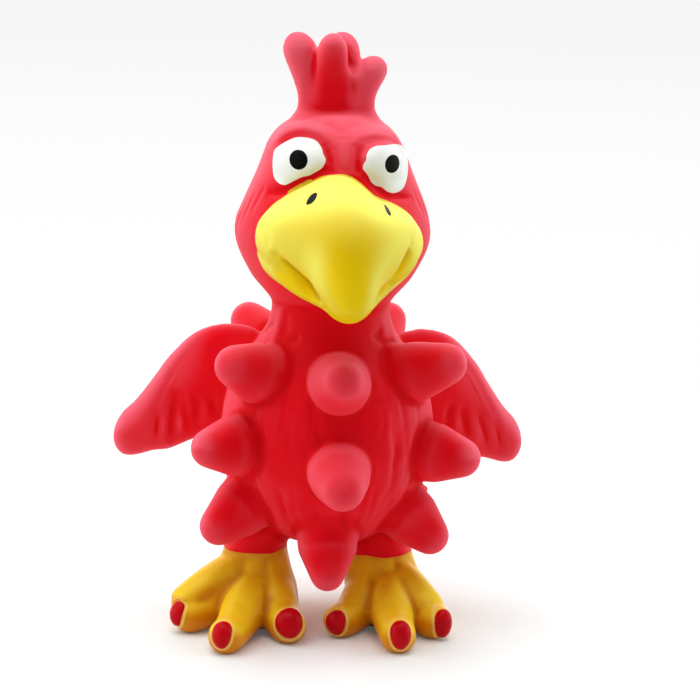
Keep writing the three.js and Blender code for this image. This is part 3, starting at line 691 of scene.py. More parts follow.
# Toes: angle from the foot's middle line, length, height of the toe's back; nail: turn, tilt, half sizes
TOES = {
    "right": {
        "outer": (36, 28, 10.2, (6, 18, 2.9, 3.5)), "middle": (-1, 34.8, 7.6, (0, 18, 2.7, 3.55)),
        "inner": (-38, 26.4, 7.6, (20, 28, 3.6, 4.0)), "heel": (180, 13.5, 7.6, None),
    },
    "left": {
        "outer": (31.5, 26.6, 8.8, (2, 0, 2.9, 3.9)), "middle": (1.5, 34, 7.6, (2, 16, 2.8, 3.8)),
        "inner": (-38, 26.4, 7.6, (14, -3, 2.9, 3.4)), "heel": (180, 13.5, 7.6, None),
    },
}
FEET = {"right": (-1, 23), "left": (1, -2)}
RAMPS = {"right": ((0, 15.6), (9, 14.0), (18, 10.4), (25, 6.6)),
         "left": ((0, 14.0), (8, 12.6), (16, 9.4), (22, 6.2))}
PAINT_LINES = {"right": 19.8, "left": 18.5}
TOE_TIP = 4.6  # radius of a toe's tip
NECK_CUT_Z = 81  # where the head is parted off the body
LEAN = -1.8  # both ankles stand this far towards the toy's right


def toe_way(foot, angle):
    side, turn = FEET[foot]
    a = math.radians(side * (turn + angle))
    return Vector((math.sin(a), -math.cos(a), 0))


def leg_axis(foot):
    return Vector((FEET[foot][0] * 16.8, TOY_Y, 0))


def toe(foot, name):
    angle, length, back, _ = TOES[foot][name]
    way = toe_way(foot, angle)
    reach = length - 2.7
    low = TOE_TIP - 0.4
    places = ((0, 9.4), (reach / 3, back), (reach * 0.72, low + (back - 7.6) * 0.4), (length - 0.3, low))
    spine = [tuple(leg_axis(foot) + way * d + Vector((0, 0, z))) for d, z in places]
    tips = [7.4, 6.8, 5.0, TOE_TIP]
    return limb(spine, (way.y, -way.x, 0), tips, tips, (7.4, TOE_TIP))


def leaning(obj, low, high):
    """Leans a form sideways: not at the height low, and fully at the height high."""
    co = points(obj)
    share = np.clip((co[:, 2] - low) / (high - low), 0, 1)
    co[:, 0] += LEAN * share**2 * (3 - 2 * share)
    set_points(obj, co)
    return obj


def foot(name):
    line = [(0, 25), (8.0, 25), (8.1, 20), (9.0, 17), (10.4, 14), (11.3, 10), (11.4, 5), (11.2, -1), (0, -1)]
    instep = turned(line, 64)
    co, way = points(instep), np.array(toe_way(name, 0))
    radius = np.maximum(np.hypot(co[:, 0], co[:, 1]), 1e-9)
    front = np.clip(0.6 + co @ way / radius, 0, 1)
    co[:, :2] *= (1 - (1 - front) * np.maximum(radius - 9.2, 0) / radius)[:, None]
    set_points(instep, co)
    moved(instep, Matrix.Translation(leg_axis(name)))
    parts = [leaning(instep, 7, 15)] + [toe(name, toe_name) for toe_name in TOES[name]]
    way = toe_way(name, TOES[name]["outer"][0] + 4)
    ramp = [tuple(leg_axis(name) + way * d + Vector((LEAN * 0.7, 0, z))) for d, z in RAMPS[name]]
    parts.append(limb(ramp, (way.y, -way.x, 0), [6, 5.5, 4.8, 4.2], [4.5, 4.2, 3.6, 3.2], (4, 3)))
    return joined(parts, f"{name}_foot_form")


def leg(name):
    line = [(0, 36), (11.4, 36), (10.6, 31), (9.2, 25), (8.5, 21), (8.4, 18), (0, 18)]
    return leaning(moved(turned(line, 64), Matrix.Translation(leg_axis(name))), 34, 21)


SQUEAKER_TURN = math.radians(-47)
SQUEAKER_OUT = Vector((0, math.cos(SQUEAKER_TURN) / 28.2, math.sin(SQUEAKER_TURN) / 29.2)).normalized()
SQUEAKER_AT = Vector((0, TOY_Y + 28.2 * math.cos(SQUEAKER_TURN), 50 + 29.2 * math.sin(SQUEAKER_TURN)))


def squeaker_seat():
    obj = turned([(0, 0), (10.1, 0), (10.6, -0.6), (10.6, -3), (0, -3)], 64)
    return moved(obj, aimed(SQUEAKER_AT, SQUEAKER_OUT))


# ---------------------------------------------------------------- details of the sculpt


def feather_grooves(clay):
    """Upright, slightly wavy grooves in the latex of the chest, between the spikes."""
    rng = np.random.default_rng(SEED)
    for _ in range(54):
        azimuth = rng.uniform(-58, 58)
        top = rng.uniform(42, 80)
        length = rng.uniform(9, 24)
        lean = rng.uniform(-4, 4) - azimuth * 0.05
        z = np.linspace(top, top - length, 7)
        a = np.radians(azimuth + lean * np.linspace(0, 1, 7) + rng.normal(0, 0.5, 7))
        r = np.array([body_radius(STORE["outline"], h) for h in z])
        path = np.column_stack([r * np.sin(a), TOY_Y - r * np.cos(a), z])
        clay.stroke(path, rng.uniform(0.8, 1.5), -rng.uniform(0.08, 0.24), fade=0.8)
    clay.stroke([(-26.5, -6, 44), (-27.5, 0, 43), (-26, 8, 43)], 5, 0.8)
    clay.stroke([(25.4, -8, 38), (27.2, 1, 36.2), (26.6, 8, 35.4)], 2.6, -0.7)


# Strokes of the sculpting tool: path, half width, depth (below zero presses in)
NECK_STROKES = [
    ([(-13.4, -3.6, 86.5), (-13.6, -4.1, 85.2), (-13.9, -4.6, 82.0),
      (-14.9, -5.4, 79.0), (-17.0, -6.4, 76.0)], 2.0, 0.5),
    ([(-17.6, 4.0, 77.8), (-17.0, 2.1, 78.7), (-15.8, 0.7, 80.4), (-14.9, -2.0, 82.0)], 1.2, -0.5),
    ([(-12.6, -5.0, 86.0), (-13.1, -6.2, 81.7), (-13.9, -8.6, 77.5)], 1.5, -0.3),
    ([(-12.4, -8.2, 78.6), (-11.0, -9.8, 79.2), (-9.4, -10.8, 79.6)], 1.3, -0.4),
    ([(9.6, -10.6, 80.6), (12.6, -8.6, 78.6), (16.2, -5.0, 77.4)], 1.4, -0.5),
    ([(11.4, -9.0, 81.6), (12.4, -8.2, 80.0)], 1.2, -0.35),
    ([(13.4, -6.4, 85.0), (14.6, -8.6, 78.0), (16.4, -11.0, 72.0)], 1.9, 0.4),
]
FACE_STROKES = [
    # Crests over the eyes
    ([(-16.1, -4.1, 128.1), (-15.2, -5.4, 131.1), (-13.0, -7.4, 133.2), (-9.3, -9.4, 134.6), (-5.7, -11.0, 133.8),
      (-3.3, -11.7, 131.4), (-2.1, -12.9, 128.8)], 1.5, 0.5),
    ([(2.9, -12.7, 129.5), (4.1, -11.9, 131.9), (7.0, -11.1, 132.9), (11.0, -9.4, 132.2),
      (14.6, -6.1, 130.5)], 1.5, 0.5),
    # Furrows over the bridge
    ([(-3.4, -6.6, 135.0), (-2.6, -7.3, 134.3), (-1.1, -9.0, 133.0), (0.1, -11.0, 131.4)], 1.1, -0.45),
    ([(4.2, -6.0, 135.0), (3.4, -6.8, 134.3), (2.0, -8.8, 133.3), (0.6, -10.7, 131.7)], 1.1, -0.4),
    # The bridge, and the dents at the eyes' inner corners
    ([(0.4, -12, 131), (0.5, -14, 126), (0.6, -15.5, 122)], 2.2, 0.5),
    ([(-4.6, -12.4, 130.4), (-3.6, -13.6, 127.8), (-2.8, -14.8, 125.2), (-2.4, -15.8, 122.6)], 1.6, -0.45),
    ([(5.4, -12.6, 130.0), (4.4, -13.9, 127.4), (4.0, -15.0, 125.2), (3.8, -15.8, 122.8)], 1.7, -0.38),
    # The head's right side, a little narrower than its left
    ([(-25.5, 4, 110), (-23.5, 4, 115), (-21.0, 3, 120), (-17.5, 2, 127)], 6.0, -0.7),
    # Valleys between the eyes and the beak
    ([(-3.8, -15.2, 124.8), (-7.5, -15.7, 122.4), (-11.0, -14.4, 120.3), (-14.5, -12.5, 118.1),
      (-18, -8.5, 116.6)], 1.3, -0.9),
    ([(5.5, -15.6, 123.7), (8.0, -15.8, 120.7), (11.3, -15.2, 118.0), (15.5, -12.4, 117.1),
      (18.6, -8.0, 116.0)], 1.3, -0.9),
]
COMB_STROKES = [
    ([(-5.7, -0.1, 152.1), (-6.6, -0.9, 147.8), (-7.7, -0.4, 142.1), (-8.0, -0.4, 138)], 1.4, -0.3),
    ([(2.4, 2.2, 153.5), (3.3, 0.8, 147.8), (4.2, -1.4, 142.4), (4.4, -2.4, 139)], 1.4, -0.5),
    ([(-9.6, -1.0, 137.6), (0, -3.4, 137.4), (10.2, -1.0, 137.0)], 1.4, -0.2),
]
# On each side of the mouth: the way inwards, the hollow under the upper beak, and the lip below it
MOUTH_SIDES = [
    ((0.6, 0.62, 0.45),
     [(-16.8, -26.6, 103.6), (-12.6, -29.4, 99.6), (-9.2, -30.8, 95.4), (-6.4, -32.2, 91.8)],
     [(-18.6, -21.4, 101.2), (-14.4, -24.8, 96.8), (-8.6, -27.8, 92.4)]),
    ((-0.6, 0.62, 0.45),
     [(15.8, -29.4, 107.2), (12.8, -32.2, 102.6), (10.0, -33.0, 98.0), (7.4, -33.8, 94.2)],
     [(18.4, -25.8, 105.4), (14.8, -28.0, 100.2), (10.6, -29.4, 95.0)]),
]
FRONT = (-0.119, -0.969, 0.216)  # the way from the toy towards the camera; the paints are darker where they face it and paler where they turn from it, as painted light
MOUTH_STROKES = [
    ([(-19.8, -18.0, 111.0), (-18.9, -23.2, 108.3), (-18.4, -25.4, 105.9)], 1.5, -0.5),
    ([(19.6, -15.0, 111.6), (18.4, -23.6, 109.2), (17.0, -28.0, 107.3)], 1.5, -0.5),
]
# Flutes of the wings: the toy's right one, the toy's left one
WING_STROKES = {
    -1: [
        ([(-31.8, 11.4, 76.0), (-36.3, 11.4, 71.0), (-39.4, 12.0, 66.4), (-42.0, 12.5, 61.4), (-44.2, 12.6, 56.6),
          (-46.1, 12.9, 52.2), (-47.7, 13.4, 48.0)], 1.7, -0.5, (0.7, 0, -0.7)),
        ([(-44.2, 12.5, 54.5), (-45.0, 12.7, 49.5), (-45.0, 13.4, 44.9)], 1.2, -0.56, None),
        ([(-39.7, 11.1, 61.0), (-40.6, 11.4, 55.2), (-41.2, 11.9, 50.4), (-41.4, 13.1, 45.0)], 1.6, -0.84, None),
        ([(-37.8, 10.4, 58.5), (-37.4, 10.8, 54.0), (-36.3, 11.4, 48.8)], 1.2, -0.63, None),
        ([(-34.1, 9.3, 60.1), (-34.5, 10.0, 55.6), (-34.9, 10.9, 50.0)], 1.4, -0.77, None),
        ([(-30.9, 8.4, 60.3), (-30.3, 8.6, 56.6), (-29.3, 8.8, 52.9)], 1.4, -0.56, None),
        ([(-42.8, 12.2, 54.0), (-43.2, 12.6, 48.0)], 1.2, 0.15, None),
        ([(-39.2, 11.2, 54.0), (-38.8, 11.8, 47.5)], 1.1, 0.15, None),
    ],
    1: [
        ([(30.0, 9.6, 75.0), (36.4, 11.4, 69.0), (41.2, 12.8, 62.2), (44.9, 13.0, 55.6),
          (48.6, 14.1, 49.4), (51.0, 14.7, 45.0)],
         1.7, -0.5, (-0.7, 0, -0.7)),
        ([(34.2, 9.5, 58.2), (33.7, 9.7, 53.1), (33.5, 10.1, 49.8)], 1.4, -0.70, None),
        ([(37.0, 10.5, 57.2), (38.8, 11.0, 50.6), (40.8, 12.1, 45.8)], 1.5, -0.84, None),
        ([(41.6, 12.0, 55.1), (44.2, 12.3, 48.5), (46.0, 13.6, 43.2)], 1.4, -0.70, None),
        ([(46.9, 13.4, 51.8), (48.6, 13.6, 46.4), (49.4, 14.5, 41.7)], 1.2, -0.49, None),
        ([(36.0, 10.2, 54.0), (36.8, 11.0, 48.0)], 1.1, 0.15, None),
        ([(42.4, 11.9, 50.0), (43.4, 12.6, 44.5)], 1.1, 0.15, None),
    ],
}


def pressed(clay, strokes):
    for path, width, depth, *gentle in strokes:
        clay.stroke(path, width, depth, gentle=gentle[0] if gentle else None)


def neck_folds(clay):
    pressed(clay, NECK_STROKES)


def face_details(clay):
    pressed(clay, FACE_STROKES)
    # Long, faint wrinkles that follow the cheeks
    for side in (-1, 1):
        for x, y, z in [(18.6, -7.2, 118.4), (20.6, -4.4, 116.8), (22.2, -0.8, 114.8)]:
            path = [(side * x, y, z), (side * (x + 2.4), y + 0.6, z - 5), (side * (x + 2.6), y + 1.4, z - 12)]
            clay.stroke(path, 0.9, -0.35)


def softened(obj, share, times):
    """Smooths a part of the mesh, with a share for each point."""
    group = obj.vertex_groups.new(name="soft")
    chosen = np.nonzero(share > 0.01)[0]
    for level in np.unique(np.round(share[chosen], 1)):
        group.add(chosen[np.round(share[chosen], 1) == level].tolist(), float(max(level, 0.05)), "REPLACE")
    add_modifier(obj, "SMOOTH", factor=0.5, iterations=times, vertex_group="soft")
    obj.vertex_groups.clear()


def mouth(clay):
    for way, hollow, lip in MOUTH_SIDES:
        clay.push(hollow, way, 2.6, 1.7)
        clay.push(lip, way, -0.9, 1.5)
    clay.done()
    pressed(clay, MOUTH_STROKES)


def comb_details(clay):
    z = clay.co[:, 2]
    softened(clay.obj, np.clip((z - 134) / 3, 0, 1) * np.clip((151 - z) / 5, 0, 1), 24)
    clay.co, clay.no = points(clay.obj), outward(clay.obj)
    pressed(clay, COMB_STROKES)


def wing_details(clay):
    for side, strokes in WING_STROKES.items():
        across = wing_frame(side).to_3x3() @ Vector((0, 1, 0))
        for path, width, depth, gentle in strokes:
            clay.stroke(path, width, depth, fade=0.9, facing=-across, gentle=gentle)
            behind = [tuple(Vector(p) + across * 8.2) for p in path]
            clay.stroke(behind, width * 1.1, depth * 0.7, facing=across, gentle=gentle)


def foot_details(clay):
    # The instep runs softly into the toes
    share = np.zeros(len(clay.co))
    for name in FEET:
        across = np.hypot(*(clay.co - np.array(leg_axis(name)))[:, :2].T)
        share = np.maximum(share, np.clip((19 - across) / 6, 0, 1) * np.clip((20 - clay.co[:, 2]) / 4, 0, 1))
    softened(clay.obj, share * np.clip((clay.co[:, 2] - 1) / 3, 0, 1), 30)
    clay.co, clay.no = points(clay.obj), outward(clay.obj)
    for name in FEET:
        axis = leg_axis(name)
        for toe_name, (angle, length, back, nail) in TOES[name].items():
            if not nail:
                continue
            way = toe_way(name, angle)
            side = Vector((0, 0, 1)).cross(way)
            # A tendon along the toe, a knuckle, and the folds before and behind it
            heights = ((7.5, 17.5), (length * 0.42, back + 6.2), (length * 0.7, 10.8))
            spine = [axis + way * d + Vector((0, 0, z)) for d, z in heights]
            clay.stroke(spine, 1.8, 0.4)
            for share, depth in ((0.6, -0.22), (0.76, -0.12)):
                mid = axis + way * (length * share) + Vector((0, 0, 11.0 if share < 0.7 else 10.0))
                fold = [mid - side * 3.6 - Vector((0, 0, 1.6)), mid, mid + side * 3.6 - Vector((0, 0, 1.6))]
                clay.stroke(fold, 1.0, depth)
            # The lip that runs round the toenail
            m, halves = nail_frame(name, toe_name)
            ring = [tuple(m @ Vector((1.16 * halves[0] * math.cos(t), 1.14 * halves[1] * math.sin(t), 0.6)))
                    for t in np.linspace(0, 2 * math.pi, 25)]
            clay.stroke(ring, 0.7, 0.5, fade=0, facing=tuple(m.to_3x3() @ Vector((0, 0, 1))))
        # Valleys between the toes, and folds round the ankle
        names = [TOES[name][k][0] for k in ("outer", "middle", "inner")]
        for first, second in zip(names, names[1:]):
            way = toe_way(name, (first + second) / 2)
            line = [axis + way * d + Vector((0, 0, z)) for d, z in ((11.5, 13), (14.5, 9.5), (17.5, 6))]
            clay.stroke(line, 1.8, -0.45)
        for angle in (-70, -25, 12, 52):
            way = toe_way(name, angle)
            line = [axis + way * d + Vector((0, 0, z)) for d, z in ((8.6, 19.4), (8.9, 16.8), (9.6, 14.6))]
            clay.stroke(line, 1.1, -0.22)


def nail_frame(foot_name, toe_name):
    """The frame of a toenail, with +Z out of it and +Y up, and its half sizes."""
    angle, length, _, (turn, tilt, wide, tall) = TOES[foot_name][toe_name]
    way, face, tilt = toe_way(foot_name, angle), toe_way(foot_name, angle + turn), math.radians(tilt)
    look = face * math.cos(tilt) + Vector((0, 0, math.sin(tilt)))
    origin = leg_axis(foot_name) + way * (length - TOE_TIP) + Vector((0, 0, TOE_TIP)) + look * 2.9
    return aimed(origin, look), (wide, tall, 2.4)


# ---------------------------------------------------------------- operators for the pieces


class TOY_OT_moulding(bpy.types.Operator):
    """Sculpts the whole latex moulding in one piece"""

    bl_idname = "toy.moulding"
    bl_label = "Moulding"

    def execute(self, context):
        sizes = context.scene.toy_sizes
        outline = body_outline(sizes)
        STORE["outline"] = outline
        STORE["nails"] = [nail_frame(name, toe_name)
                          for name in FEET for toe_name in TOES[name] if TOES[name][toe_name][3]]
        ball = moved(turned(outline), Matrix.Translation((0, TOY_Y, 0)))
        head = moved(turned(head_outline()), Matrix.Translation((0, TOY_Y, 0)))
        upper, lower, tuft = beak(True), beak(False), comb()
        STORE["upper"], STORE["lower"] = nearness(upper), nearness(lower)
        STORE["head"], STORE["comb"] = nearness(head), nearness(tuft)
        parts = [ball, head, upper, lower, tuft, crown(), brow(RIGHT_BROW), brow(LEFT_BROW),
                 eyeball(-1), eyeball(1)]
        parts += [spike(sizes, outline, *entry) for entry in SPIKES]
        parts += [wing(-1), wing(1), leg("right"), leg("left"), squeaker_seat()]
        for name in FEET:
            parts.append(foot(name))
            STORE[name] = nearness(parts[-1])
        clay_ball = joined(parts, "body_latex")
        remeshed(clay_ball, sizes.clay * (1))
        add_modifier(clay_ball, "SMOOTH", factor=0.5, iterations=sizes.smoothing // 1)
        clay = Clay(clay_ball)
        feather_grooves(clay)
        clay.done()
        for detail in (neck_folds, face_details, mouth, comb_details, wing_details, foot_details):
            detail(clay)
            clay.done()
        clay.co[:, 2] = np.maximum(clay.co[:, 2], 0)
        clay.done()
        add_modifier(clay_ball, "SMOOTH", factor=0.4, iterations=2)
        work_on(clay_ball)
        bpy.ops.object.shade_smooth()
        keep_outward(clay_ball)
        keep_relief(clay_ball, 30)
        STORE["moulding"] = clay_ball
        print("moulding points", len(clay_ball.data.vertices))
        return {"FINISHED"}


def finish_piece(obj, paint, slot, body, *nodes):
    """Paints the piece, hides the model's parts that it stands for, and hangs it on the empty of what it rides
    on.
    """
    obj.data.materials.clear()
    obj.data.materials.append(paint())
    if obj.data.attributes.get("side"):
        obj.data.attributes.remove(obj.data.attributes["side"])
    if obj.data.attributes.get("outward"):
        use_outward(obj)
    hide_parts(*nodes)
    if body:
        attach(obj, body)


def brushed(obj, amount):
    """Lifts a painted piece by its coat, so that the brushed edge shows."""
    co, no = points(obj), outward(obj)
    used = np.bincount(read(obj.data.edges, "vertices", 2, np.int32).ravel(), minlength=len(co))
    move = no * amount
    move[np.argmax(used)] = 0  # the point inside, where the closing faces meet
    co += move
    co[:, 2] = np.maximum(co[:, 2], 0)
    set_points(obj, co)


class TOY_OT_feet(bpy.types.Operator):
    """Parts the painted feet off the legs"""

    bl_idname = "toy.feet"
    bl_label = "Feet"

    def execute(self, context):
        for name in FEET:
            axis = leg_axis(name)

            def field(co, name=name):
                low = np.nonzero(co[:, 2] < 22)[0]
                value = np.full(len(co), OUTSIDE)
                value[low] = np.maximum(co[low, 2] - PAINT_LINES[name] - ripple(co[low], 3.0, 0.25, len(name)),
                                        STORE[name](co[low]) - 1.0)
                return value

            side = FEET[name][0]
            low, high = sorted((side * -1.5, side * 60))
            near = limited(field, (low - 1.5, -60, -5), (high + 1.5, 60, 26))
            piece = part_off(STORE["moulding"], f"{name}_foot_paint", near, tuple(axis + Vector((0, 0, 18))))
            brushed(piece, context.scene.toy_sizes.coat / MM)
            finish_piece(piece, paint_foot, "foot_paint", "body", f"{name}_foot")
        return {"FINISHED"}


class TOY_OT_nails(bpy.types.Operator):
    """Models the six glossy toenails"""

    bl_idname = "toy.nails"
    bl_label = "Toenails"

    def execute(self, context):
        for name in FEET:
            for toe_name in ("outer", "middle", "inner"):
                m, halves = nail_frame(name, toe_name)
                nail = round_form(40, 24)
                co = points(nail) * MM
                wander = 1 + 0.03 * np.sin(3 * np.arctan2(co[:, 1], co[:, 0]) + len(toe_name))
                set_points(nail, co * halves * np.column_stack([wander, wander, np.ones(len(wander))]))
                moved(nail, m)
                bpy.ops.object.shade_smooth()
                nail.name = f"{name}_{toe_name}_nail_paint"
                finish_piece(nail, paint_nail, "nail_paint", "body", f"{name}_{toe_name}_toenail")
        return {"FINISHED"}


class TOY_OT_head(bpy.types.Operator):
    """Parts the head off the body at the neck"""

    bl_idname = "toy.head"
    bl_label = "Head"

    def execute(self, context):
        def field(co):
            away = np.hypot(co[:, 0], co[:, 1] - TOY_Y)
            return np.maximum(NECK_CUT_Z - co[:, 2], (away - 19 - 6 * (co[:, 2] - 82)) / 6)

        STORE["head_piece"] = part_off(STORE["moulding"], "head_latex", field, (0, TOY_Y, NECK_CUT_Z))
        return {"FINISHED"}


BLOB_X, BLOB_Z, BLOB_RADIUS = -8.0, 119.4, 1.8  # where the beak's paint reaches up at the right nostril


class TOY_OT_beak(bpy.types.Operator):
    """Parts the painted beak off the head, and its lower half off the upper"""

    bl_idname = "toy.beak"
    bl_label = "Beak"

    def execute(self, context):
        upper, lower, head = STORE["upper"], STORE["lower"], STORE["head"]

        def field(co):
            above, below = upper(co), lower(co)
            seam = np.maximum(3 - np.abs(above - below), 0) ** 2 / 12
            value = np.minimum(above, below) - seam - head(co) + ripple(co, 2.4, 0.18)
            blob = np.hypot(co[:, 0] - BLOB_X, co[:, 2] - BLOB_Z) - BLOB_RADIUS
            return np.where(np.abs(blob) < 4, np.minimum(value, blob), value)

        near = limited(field, (-24, -60, 84), (24, -7.5, 128))
        apex = (0, TOY_Y - 14, 106)
        both = part_off(STORE["head_piece"], "upper_beak_paint", near, apex)
        split = limited(lambda co: lower(co) - upper(co) - 0.15, (-24, -60, 84), (24, -7.5, 112))
        under = part_off(both, "lower_beak_paint", split, apex)
        for piece, node in ((both, "upper_beak"), (under, "lower_beak")):
            brushed(piece, context.scene.toy_sizes.coat / MM)
            finish_piece(piece, paint_beak, "beak_paint", "head", node)
        STORE["upper_piece"] = both
        return {"FINISHED"}


class TOY_OT_eyes(bpy.types.Operator):
    """Parts the brushed eye whites off the head, and the pupils off the whites"""

    bl_idname = "toy.eyes"
    bl_label = "Eyes"

    def execute(self, context):
        coat = context.scene.toy_sizes.coat / MM
        for name, outline, (px, pz, rx, rz) in (
            ("right", RIGHT_EYE, (-11.0, 126.1, 2.15, 2.15)),
            ("left", LEFT_EYE, (12.85, 125.2, 1.9, 2.15)),
        ):
            side = FEET[name][0]
            low, high = sorted((0, side * 21))
            shape = outline_field(outline)

            def field(co, shape=shape):
                behind = 8 * (np.hypot((co[:, 1] + 8) / 8.8, (co[:, 2] - 122.5) / 8.5) - 1)
                return np.where(co[:, 1] > -8, np.maximum(shape(co), behind), shape(co))

            near = (low, -40, 112), (high, 1.5, 134)
            inside = (side * 7.5, TOY_Y - 8, 124)
            white = part_off(STORE["head_piece"], f"{name}_eye_white", limited(field, *near), inside)
            turn = np.linspace(0, 2 * math.pi, 13)[:-1]
            wander = 1 + 0.05 * np.sin(2 * turn + side)
            ring = [(px + rx * w * math.cos(t), pz + rz * w * math.sin(t)) for t, w in zip(turn, wander)]
            dot = part_off(white, f"{name}_eye_pupil", limited(outline_field(ring), *near), inside)
            for piece, lift, paint, slot, node in (
                (white, coat, paint_white, "eye_paint", f"{name}_eye"),
                (dot, 1.6 * coat, paint_black, "pupil_paint", f"{name}_pupil"),
            ):
                brushed(piece, lift)
                finish_piece(piece, paint, slot, "head", node)
        return {"FINISHED"}


# A nostril's middle from the front, its slant in degrees, and its half length and half width
NOSTRILS = {"right": ((-8.9, 118.4), 42, (1.9, 0.5)), "left": ((9.8, 115.9), -56, (1.0, 0.5))}
NOSTRIL_LIFT = -0.05  # a slit lies a little deeper than the beak's paint


class TOY_OT_nostrils(bpy.types.Operator):
    """Parts the painted nostril slits off the upper beak"""

    bl_idname = "toy.nostrils"
    bl_label = "Nostrils"

    def execute(self, context):
        for name, ((x, z), slant, half) in NOSTRILS.items():
            c, s = math.cos(math.radians(slant)), math.sin(math.radians(slant))
            turn = np.linspace(0, 2 * math.pi, 17)[:-1]
            ring = []
            for t in turn:
                u, v = half[0] * math.cos(t), half[1] * math.sin(t) * abs(math.sin(t)) ** 0.3
                ring.append((x + u * c - v * s, z + u * s + v * c))
            area = limited(outline_field(ring), (x - 4, -60, z - 4), (x + 4, -14, z + 4))
            slit = part_off(STORE["upper_piece"], f"{name}_nostril_slit", area, (x * 0.8, TOY_Y - 24, z - 5))
            brushed(slit, NOSTRIL_LIFT)
            finish_piece(slit, paint_black, "pupil_paint", "head", f"{name}_nostril")
        return {"FINISHED"}


class TOY_OT_comb(bpy.types.Operator):
    """Parts the comb off the head, and finishes both"""

    bl_idname = "toy.comb"
    bl_label = "Comb"

    def execute(self, context):
        head, tuft = STORE["head"], STORE["comb"]
        area = limited(lambda co: tuft(co) - head(co), (-20, -15, 130), (20, 25, 170))
        piece = part_off(STORE["head_piece"], "comb_latex", area, (0, TOY_Y, 134))
        finish_piece(piece, red_latex, "latex", "head", "comb")
        head_piece = STORE["head_piece"]
        finish_piece(head_piece, red_latex, "latex", None, "head_skin")
        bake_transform(head_piece)
        return {"FINISHED"}


WING_CUT_SLOPE = 21  # degrees by which the cut through a wing's root faces up


class TOY_OT_wings(bpy.types.Operator):
    """Parts the wings off the body"""

    bl_idname = "toy.wings"
    bl_label = "Wings"

    def execute(self, context):
        for name, (side, _) in FEET.items():
            m = wing_frame(side)
            out = (m.to_3x3() @ Vector((side, 0, 0))).normalized()
            slope = math.radians(WING_CUT_SLOPE)
            normal = Vector((out.x * math.cos(slope), out.y * math.cos(slope), math.sin(slope)))
            across = (m.to_3x3() @ Vector((0, 1, 0))).normalized()
            origin = m.translation

            def field(co, normal=normal, across=across, origin=origin):
                rel = co - np.array(origin)
                return np.maximum(0.4 - rel @ np.array(normal), np.abs(rel @ np.array(across)) - 7.5)

            low, high = sorted((side * 20, side * 75))
            area = limited(field, (low, -6, 36), (high, 40, 84))
            piece = part_off(STORE["moulding"], f"{name}_wing_latex", area, tuple(origin + normal * 0.5))
            finish_piece(piece, red_latex, "latex", None, f"{name}_wing")
            start, end = (origin + normal * 0.9) * MM, (origin + normal * 10) * MM
            tuple(start)
            tuple(end)
            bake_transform(piece)
        return {"FINISHED"}


POCKET_RADIUS, POCKET_DEPTH = 7.3, 13.4  # the hole that holds the squeaker


class TOY_OT_body(bpy.types.Operator):
    """Opens the squeaker's pocket in the body, and finishes the body"""

    bl_idname = "toy.body"
    bl_label = "Body"

    def execute(self, context):
        body = STORE["moulding"]

        def field(co):
            rel = co - np.array(SQUEAKER_AT)
            deep = rel @ np.array(SQUEAKER_OUT)
            return np.linalg.norm(rel - deep[:, None] * np.array(SQUEAKER_OUT), axis=1) - POCKET_RADIUS

        area = limited(field, (-12, 5, 15), (12, 40, 45))
        plug = part_off(body, "pocket", area, tuple(SQUEAKER_AT - SQUEAKER_OUT * POCKET_DEPTH))
        bpy.data.objects.remove(plug)
        spikes = [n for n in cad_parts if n.endswith("_spike")]
        finish_piece(body, red_latex, "latex", "body", "body_skin", "right_leg", "left_leg", *spikes)
        return {"FINISHED"}


class TOY_OT_inside(bpy.types.Operator):
    """Gives the squeaker and the fibre fillings their materials"""

    bl_idname = "toy.inside"
    bl_label = "Squeaker and filling"

    def execute(self, context):
        paints = {"squeaker_housing": moulded_plastic(), "squeaker_cap": moulded_plastic(),
                  "squeaker_reed_seat": moulded_plastic(), "squeaker_reed": reed_film(),
                  "body_filling": polyester_fibre(), "head_filling": polyester_fibre()}
        for name, paint in paints.items():
            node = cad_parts[name]
            node.data.materials.clear()
            node.data.materials.append(paint)
        return {"FINISHED"}


# ---------------------------------------------------------------- materials


class Value:
    """A socket that can be used in sums."""

    def __init__(self, nodes, socket):
        self.nodes, self.socket = nodes, socket

    def _math(self, operation, a, b=0.0, clamp=False):
        return self.nodes.node("ShaderNodeMath", {"operation": operation, "use_clamp": clamp}, {0: a, 1: b})

    def __add__(self, other):
        return self._math("ADD", self, other)

    def __radd__(self, other):
        return self._math("ADD", other, self)

    def __sub__(self, other):
        return self._math("SUBTRACT", self, other)

    def __rsub__(self, other):
        return self._math("SUBTRACT", other, self)

    def __mul__(self, other):
        return self._math("MULTIPLY", self, other)

    def __rmul__(self, other):
        return self._math("MULTIPLY", other, self)

    def held(self):
        """Kept between 0 and 1."""
        return self._math("ADD", self, 0.0, clamp=True)


